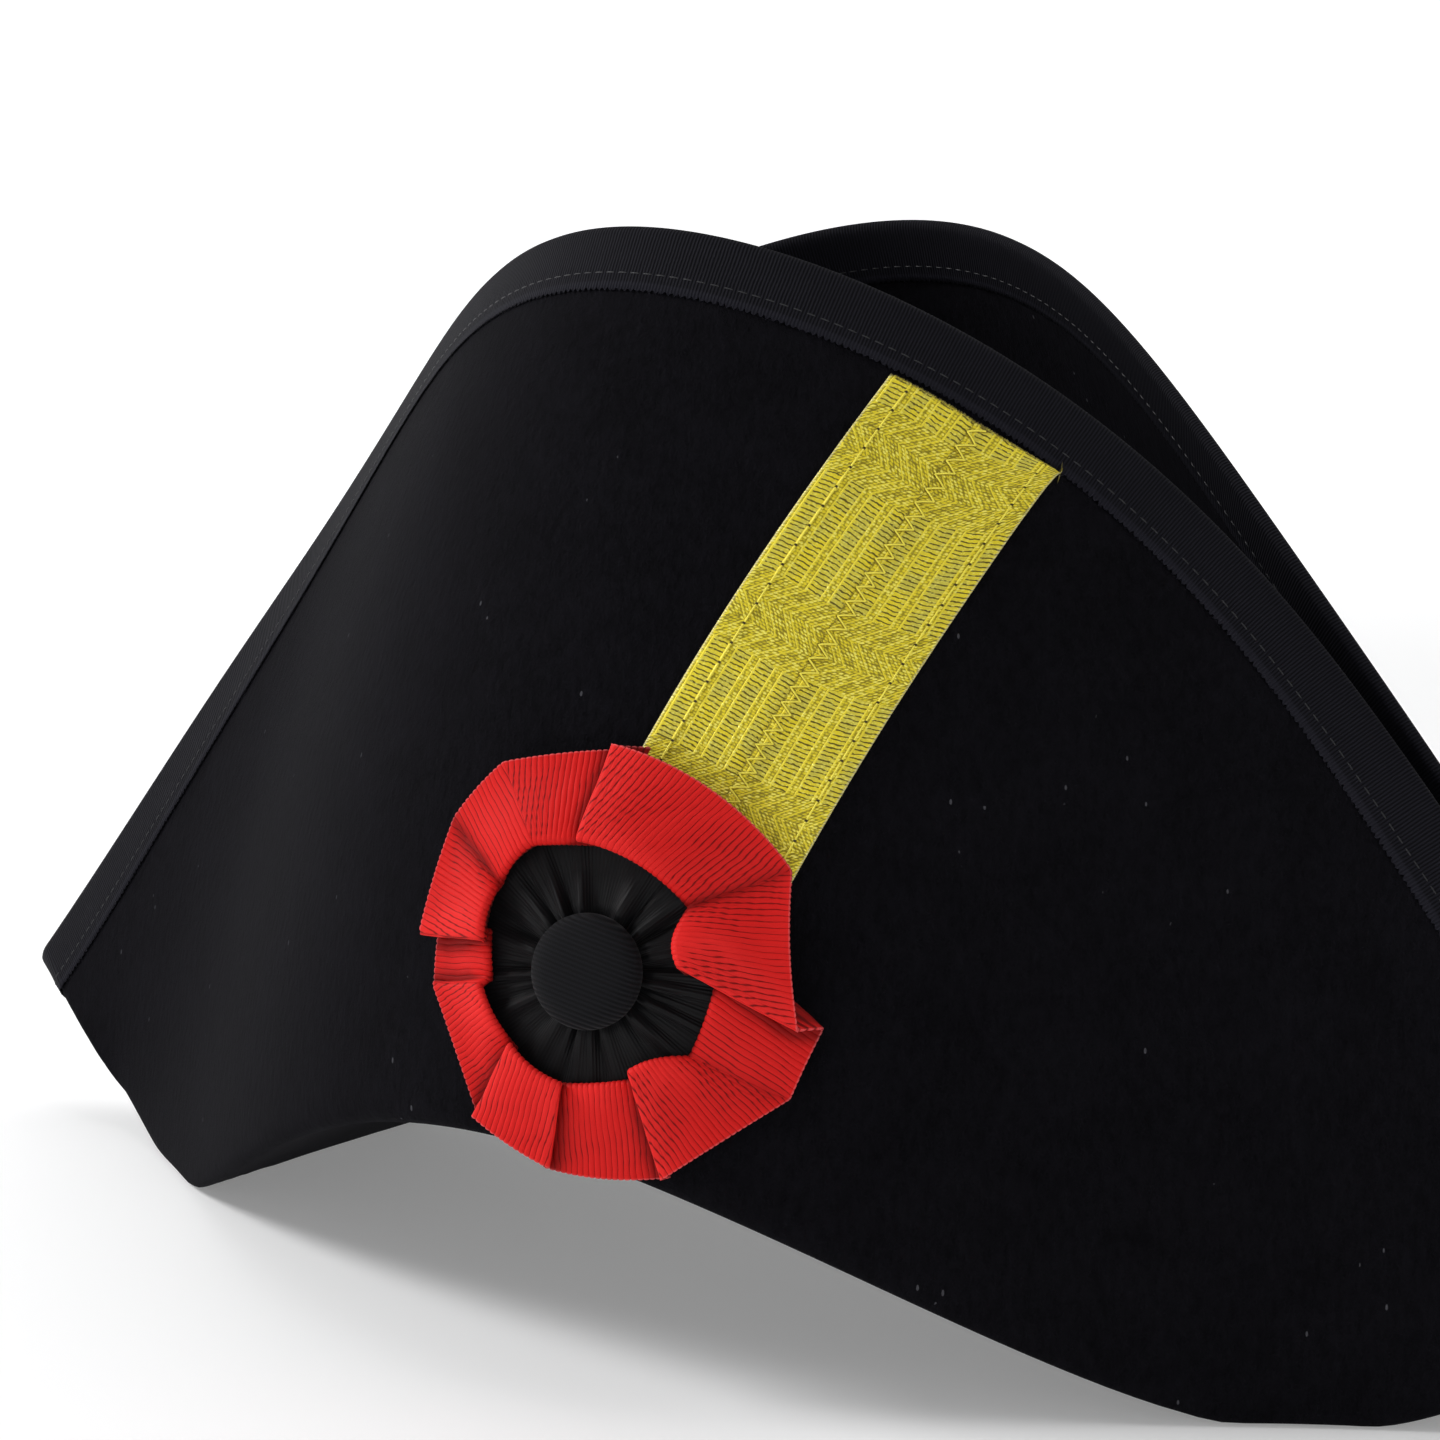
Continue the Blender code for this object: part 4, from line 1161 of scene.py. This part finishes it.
class BICORNE_OT_ruffle(bpy.types.Operator):
    """Make the cockade's red ruffle"""

    bl_idname = "bicorne.ruffle"
    bl_label = "Red ruffle"

    COLUMN = 0.2 * MM
    ROLL_TURNS = np.radians((90.0, 72.0, 54.0, 36.0, 18.0, 0.0))
    HEM = 0.9  # how far under the rolled rim the ribbon is sewn down, as a share of the roll
    HEM_DROP = 0.3 * MM  # how far it goes down at least
    LIFT = 0.2 * MM  # from the gathers to the ribbon
    FALL = 1.15  # how soon the ribbon comes down to the felt
    FLAT_SHARES = (0.08, 0.18, 0.3, 0.42, 0.54, 0.66, 0.77, 0.86, 0.93, 0.97, 0.99, 1.0)
    TURN = math.radians(4.4)  # of the whole ruffle, anticlockwise
    LEAN = (0.20, 0.20)  # how far the raised ribbon leans to the right and up, as shares of its height
    INNER_RISE = 0.85  # shares of a fold's rise at the inner and outer rim
    OUTER_RISE = 0.70
    TUCK = 0.27  # share of the step between two layers where the tucked layer turns
    PARALLEL = 0.85  # how far the ribs of a panel run side by side instead of fanning out
    ROUNDING = 3.6  # of the folds, in columns
    ROUNDING_REACH = 11
    MAP = 180  # squares of the map of heights across the ruffle
    MARGIN = 0.15  # share of it around the ruffle
    HOLLOW = 5  # squares
    DIP = 2.0  # how sharply a panel drops into its lower end
    WAVES = ((0.10, 9.0, 0.31), (0.06, 23.0, 0.83))  # of the ribs: (size, radians across, radians a rib)
    RIM_HEIGHT = 0.28 * MM  # of the ribs at the outer rim
    RIM_SHARE = 0.02

    def execute(self, context):
        cockade = context.scene.bicorne_cockade
        place = CockadePlace(context.scene)
        line, panels = self.ribbon_line(cockade)
        inner, outer, rise = line[:, 0:2], line[:, 2:4], line[:, 4]
        spread = outer - inner
        width = np.linalg.norm(spread, axis=-1)
        roll = cockade.roll
        rows = [(self.HEM * roll / width, 0.0)]
        for turn in self.ROLL_TURNS:
            rows.append((roll * (1.0 - np.sin(turn)) / width, roll * (1.0 - math.cos(turn))))
        rows += [(roll / width + (1.0 - roll / width) * share, 0.0) for share in self.FLAT_SHARES]
        ring = np.stack([share for share, _ in rows])
        drop = np.array([drop for _, drop in rows])[:, None]
        cosine, sine = math.cos(self.TURN), math.sin(self.TURN)
        flat = (inner + spread * ring[..., None]) @ np.array(((cosine, sine), (-sine, cosine)))
        crest = gather_crest(cockade, np.linalg.norm(inner, axis=-1))
        lift = crest + cockade.wall + self.LIFT + roll * 0.6
        base = lift + (cockade.seat - lift) * smooth(ring * self.FALL)
        rise_share = self.INNER_RISE + (self.OUTER_RISE - self.INNER_RISE) * ring
        height = base - drop + cockade.rise * rise * rise_share
        height[0] = np.minimum(height[1] - self.HEM_DROP, (crest + cockade.seat) / 2)
        leaning = flat + (height - cockade.seat)[..., None] * self.LEAN
        middle = place.points(leaning[..., 0], leaning[..., 1], height)
        steps = np.linalg.norm(np.roll(outer, -1, axis=0) - outer, axis=-1)
        steps = np.hypot(steps, cockade.rise * (np.roll(rise, -1) - rise))
        fan = np.concatenate(((0.0,), np.cumsum(steps)[:-1])) / cockade.rib
        ribs = np.zeros(ring.shape)
        for number in range(panels[-1] + 1):
            inside = panels == number
            axis = unit((flat[-1, inside] - flat[0, inside]).mean(axis=0))
            aside = flat[:, inside, 1] * axis[0] - flat[:, inside, 0] * axis[1]
            turned = 1.0 if aside[-1, -1] >= aside[-1, 0] else -1.0
            straight = turned * (aside - aside[-1].mean()) / cockade.rib + fan[inside].mean()
            ribs[:, inside] = straight * self.PARALLEL + fan[inside] * (1.0 - self.PARALLEL)
        for size, over, along in self.WAVES:
            ribs = ribs + size * np.sin(ring * over + fan * along)
        ridge = np.abs(np.sin(np.pi * ribs)) ** 0.7
        normals = sheet_normals(middle)
        if (normals[8] @ place.out).mean() < 0.0:
            normals = -normals
        rim = self.RIM_HEIGHT * (ridge - 0.5) * np.exp(-(((1.0 - ring) / self.RIM_SHARE) ** 2))
        outward = (spread / width[:, None]) @ np.stack((place.right, place.up))
        relief = cockade.rib_height * (ridge - 0.5)
        pleats = middle + normals * relief[..., None] + outward * rim[..., None]
        weave = np.zeros((len(rows), len(panels) + 1, 2))
        depth = np.zeros(weave.shape)
        # The depth map drives the red ribbon's painted shade in hollows and painted highlight on raised
        # parts
        depth[:, :-1, 0] = self.hollows(leaning, height, cockade.radius) / MM
        depth[:, -1, 0] = depth[:, 0, 0]
        weave[:, :-1, 0] = ribs
        weave[:, -1, 0] = 2.0 * ribs[:, -1] - ribs[:, -2]
        weave[:, :-1, 1] = ring
        weave[:, -1, 1] = ring[:, 0]
        bm = cloth_grid(pleats, {"weave": weave, "depth": depth}, True)
        paint, slot = red_paint(cockade), "red_grosgrain"
        ruffle = finish_sheet(
            "ruffle_ribbon", bm, paint, cockade.wall, "cockade_red_ruffle", slot, False
        )
        return {"FINISHED"}

    def hollows(self, spots, height, radius):
        """How far each spot lies under the ribbon around it, or over it where negative."""
        cells = np.rint((spots / radius * 0.5 + 0.5 + self.MARGIN) * self.MAP).astype(int)
        rows, columns = cells[..., 1], cells[..., 0]
        size = round((1.0 + 2.0 * self.MARGIN) * self.MAP) + 1
        top, filled = np.zeros((size, size)), np.zeros((size, size))
        np.maximum.at(top, (rows, columns), height)
        filled[rows, columns] = 1.0
        for axis in (0, 1):
            top, filled = (blurred(image, axis, 3 * self.HOLLOW, self.HOLLOW) for image in (top, filled))
        return (top / np.maximum(filled, 1e-6))[rows, columns] - height

    def ribbon_line(self, cockade):
        """The ribbon's line around the cockade: inner point, outer point and rise of each column."""
        folds = [
            (fold_corner(before, cockade.radius), fold_corner(after, cockade.radius), bulges)
            for before, after, bulges in RUFFLE_FOLDS
        ]
        runs = []
        for number, (before, after, bulges) in enumerate(folds):
            step = after - before
            if np.any(step[:4] != 0.0):
                low, high = before.copy(), after.copy()
                low[4] += step[4] * self.TUCK
                high[4] -= step[4] * self.TUCK
                runs += [(before, low, None), (low, high, None), (high, after, None)]
            runs.append((after, folds[(number + 1) % len(folds)][0], bulges))
        lines, panels = [], []
        for number, (start, end, bulges) in enumerate(runs):
            gap = end - start
            reach = max(np.hypot(*gap[2:4]), np.hypot(*gap[0:2]), abs(gap[4]) * cockade.rise)
            count = max(int(reach / self.COLUMN), 3)
            share = np.arange(count) / count
            line = start + gap * share[:, None]
            if bulges is not None:
                eased = share**self.DIP if gap[4] < 0.0 else 1.0 - (1.0 - share) ** self.DIP
                line[:, 4] = start[4] + gap[4] * eased + bulges[2] * np.sin(np.pi * share)
                bow = 4.0 * share * (1.0 - share) * cockade.radius
                for bulge, part in zip(bulges, (slice(0, 2), slice(2, 4))):
                    line[:, part] += unit(line[:, part]) * (bow * bulge)[:, None]
            lines.append(line)
            panels += [number] * count
        line = blurred(np.concatenate(lines), 0, self.ROUNDING_REACH, self.ROUNDING)
        return line, np.array(panels)


class BICORNE_OT_gathers(bpy.types.Operator):
    """Make the cockade's black gathers"""

    bl_idname = "bicorne.gathers"
    bl_label = "Black gathers"

    COLUMNS = 720
    RINGS = 34
    RIBS = 190
    SWAYS = ((1.3, 2.0, 0.7), (0.9, 5.0, 2.1))  # of the gathers: (radians, waves around, start)
    TWIST = (0.9, 3.0, 1.0)  # from hub to rim, the same way
    TWIST_HUB = 0.3  # share of the way out where they aren't twisted
    SHARPNESS = 0.75
    UNEVEN = 0.22  # share of a gather's height that differs around
    VALLEY = 0.22  # share of the rise that the valleys keep
    SMALL = 0.16  # rise of the small folds between the gathers, as a share

    def execute(self, context):
        scene = context.scene
        cockade = scene.bicorne_cockade
        place = CockadePlace(scene)
        hole, reach = cockade.button - cockade.gather_tuck, cockade.gather_reach
        ring = np.linspace(0.0, 1.0, self.RINGS)[:, None]
        turn = 2.0 * np.pi * np.arange(self.COLUMNS) / self.COLUMNS
        phase = cockade.gathers * turn
        for size, waves, start in self.SWAYS:
            phase = phase + size * np.sin(waves * turn + start)
        size, waves, start = self.TWIST
        phase = phase + size * (ring - self.TWIST_HUB) * np.sin(waves * turn + start)
        crest = (0.5 + 0.5 * np.cos(phase)) ** self.SHARPNESS
        depth = 1.0 - self.UNEVEN + self.UNEVEN * np.sin(4.0 * turn + 0.4) * np.cos(3.0 * turn)
        swell = np.interp(ring, *zip(*GATHER_SWELL))
        small = self.SMALL * np.cos(2.0 * phase + 1.3 + np.sin(3.0 * turn)) * swell
        rise = swell * (self.VALLEY + (1.0 - self.VALLEY) * crest * depth) + small
        height = cockade.seat + cockade.gather_rise * rise
        radius = hole + (reach - hole) * ring
        across, up = radius * np.cos(turn), radius * np.sin(turn)
        middle = place.points(across, up, height, cockade.button_right)
        steps = np.linalg.norm(np.roll(middle, -1, axis=1) - middle, axis=-1)
        distance = np.concatenate(((0.0,), np.cumsum(steps[self.RINGS // 2])))
        weave = np.zeros((self.RINGS, self.COLUMNS + 1, 2))
        weave[..., 0] = distance / distance[-1] * self.RIBS
        weave[..., 1] = ring
        bm = cloth_grid(middle, {"weave": weave}, True)
        paint, slot = black_ribbon_paint(cockade), "black_grosgrain"
        gathers = finish_sheet("gather_ribbon", bm, paint, cockade.wall, "cockade_black_gathers", slot)
        return {"FINISHED"}


class BICORNE_OT_button(bpy.types.Operator):
    """Make the covered button"""

    bl_idname = "bicorne.button"
    bl_label = "Button"

    PROFILE = (  # (share of its radius, share of its height)
        (0.0, 0.0),
        (0.90, 0.0),
        (0.97, 0.08),
        (1.0, 0.24),
        (1.0, 0.44),
        (0.97, 0.62),
        (0.90, 0.78),
        (0.78, 0.89),
        (0.6, 0.95),
        (0.35, 0.985),
        (0.0, 1.0),
    )
    LIFT = 0.2 * MM  # over the gathers

    def execute(self, context):
        cockade = context.scene.bicorne_cockade
        place = CockadePlace(context.scene)
        seat = gather_crest(cockade, cockade.button) + cockade.wall / 2 + self.LIFT
        centre = place.centre + place.right * cockade.button_right
        spots = [
            centre
            + place.right * cockade.button * share
            + place.out * (seat + cockade.button_height * rise)
            for share, rise in self.PROFILE
        ]
        bm = turn_profile(spots, centre, place.out, 72)
        layer = bm.loops.layers.uv.new("weave")
        for face in bm.faces:
            for loop in face.loops:
                spot = np.array(loop.vert.co) - centre
                loop[layer].uv = (spot @ place.right / MM, spot @ place.up / MM)
        button = finish_mesh("covered_button", bm, button_paint(cockade))
        rounding = button.modifiers.new("rounding", "SUBSURF")
        rounding.levels = rounding.render_levels = 1
        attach(button, "root")
        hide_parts("cockade_button")
        return {"FINISHED"}


class BICORNE_OT_studio(bpy.types.Operator):
    """Make the floor, the lights and the camera"""

    bl_idname = "bicorne.studio"
    bl_label = "Studio"

    LIGHTS = (  # (name, place, aim, width, height, power)
        ("key", (-1.5, -1.0, 1.5), (0.0, 0.0, 0.12), 0.7, 0.7, 34.0),
        ("fill", (1.5, -1.4, 0.9), (0.0, 0.0, 0.12), 1.4, 1.2, 1.5),
        ("top", (0.0, 0.7, 2.1), (0.0, 0.0, 0.0), 2.2, 2.2, 20.0),
        ("left", (-1.7, 0.3, 0.5), (0.0, 0.0, 0.12), 0.8, 1.2, 4.0),
    )
    SKY = 0.18
    FLOOR_DROP = 0.2 * MM  # of the floor under the hat
    FLOOR_INNER = 400.0 * MM

    def execute(self, context):
        scene, studio = context.scene, context.scene.bicorne_studio
        scene.view_settings.view_transform = "Standard"
        self.make_floor(studio)
        for name, place, aim, width, height, power in self.LIGHTS:
            data = bpy.data.lights.new(name, "AREA")
            data.shape = "RECTANGLE"
            data.size, data.size_y, data.energy = width, height, power
            light = bpy.data.objects.new(name, data)
            light.location = place
            light.rotation_euler = (Vector(aim) - Vector(place)).to_track_quat("-Z", "Y").to_euler()
            scene.collection.objects.link(light)
        world = bpy.data.worlds.new("studio")
        world.use_nodes = True
        sky = world.node_tree.nodes["Background"]
        sky.inputs["Color"].default_value = (1.0, 1.0, 1.0, 1.0)
        sky.inputs["Strength"].default_value = self.SKY
        scene.world = world
        self.make_camera(scene, studio)
        return {"FINISHED"}

    def make_floor(self, studio):
        """A round floor that bends up into a backdrop on all sides."""
        bend, flat = studio.backdrop_bend, studio.floor_radius
        profile = [(0.0, 0.0), (self.FLOOR_INNER, 0.0), (flat, 0.0)]
        for turn in np.radians(np.linspace(0.0, 90.0, 13)[1:]):
            profile.append((flat + bend * math.sin(turn), bend * (1.0 - math.cos(turn))))
        spots = [(reach, 0.0, rise - self.FLOOR_DROP) for reach, rise in profile]
        bm = turn_profile(spots, (0.0, 0.0, 0.0), (0.0, 0.0, 1.0), 96)
        if sum(face.normal.z for face in bm.faces) < 0.0:
            bmesh.ops.reverse_faces(bm, faces=bm.faces)
        floor = finish_mesh("paper_floor", bm, floor_paint(studio))

    def make_camera(self, scene, studio):
        azimuth, elevation, roll = studio.azimuth, studio.elevation, studio.roll
        right = Vector((math.cos(azimuth), math.sin(azimuth), 0.0))
        level = Vector((math.sin(azimuth), -math.cos(azimuth), 0.0))
        back = level * math.cos(elevation) + Vector((0.0, 0.0, math.sin(elevation)))
        up = back.cross(right)
        axes = (
            right * math.cos(roll) + up * math.sin(roll),
            up * math.cos(roll) - right * math.sin(roll),
            back,
        )
        target = Vector((-studio.target_left, MIDDLE_Y, studio.target_height))
        data = bpy.data.cameras.new("camera")
        data.lens = studio.lens
        data.sensor_width = 36.0
        camera = bpy.data.objects.new("camera", data)
        turned = Matrix(axes).transposed().to_4x4()
        camera.matrix_world = Matrix.Translation(target + back * studio.distance) @ turned
        scene.collection.objects.link(camera)
        scene.camera = camera


class BICORNE_PT_panel(bpy.types.Panel):
    """The hat's pieces and sizes"""

    bl_idname = "BICORNE_PT_panel"
    bl_label = "Bicorne Hat"
    bl_space_type = "VIEW_3D"
    bl_region_type = "UI"
    bl_category = "Bicorne"

    def draw(self, context):
        for step in STEPS:
            self.layout.operator(step.bl_idname)
        for name, group in GROUPS.items():
            box = self.layout.box()
            for prop in group.__annotations__:
                box.prop(getattr(context.scene, name), prop)


STEPS = (
    BICORNE_OT_felt,
    BICORNE_OT_binding,
    BICORNE_OT_braid,
    BICORNE_OT_gathers,
    BICORNE_OT_ruffle,
    BICORNE_OT_button,
    BICORNE_OT_studio,
)


def register():
    for group in GROUPS.values():
        bpy.utils.register_class(group)
    for step in STEPS:
        bpy.utils.register_class(step)
    bpy.utils.register_class(BICORNE_PT_panel)
    for name, group in GROUPS.items():
        setattr(bpy.types.Scene, name, bpy.props.PointerProperty(type=group))


def unregister():
    for name in GROUPS:
        delattr(bpy.types.Scene, name)
    bpy.utils.unregister_class(BICORNE_PT_panel)
    for step in reversed(STEPS):
        bpy.utils.unregister_class(step)
    for group in reversed(GROUPS.values()):
        bpy.utils.unregister_class(group)


def main():
    register()
    bpy.ops.bicorne.felt()
    bpy.ops.bicorne.binding()
    bpy.ops.bicorne.braid()
    bpy.ops.bicorne.gathers()
    bpy.ops.bicorne.ruffle()
    bpy.ops.bicorne.button()
    bpy.ops.bicorne.studio()


if __name__ == "__main__":
    main()
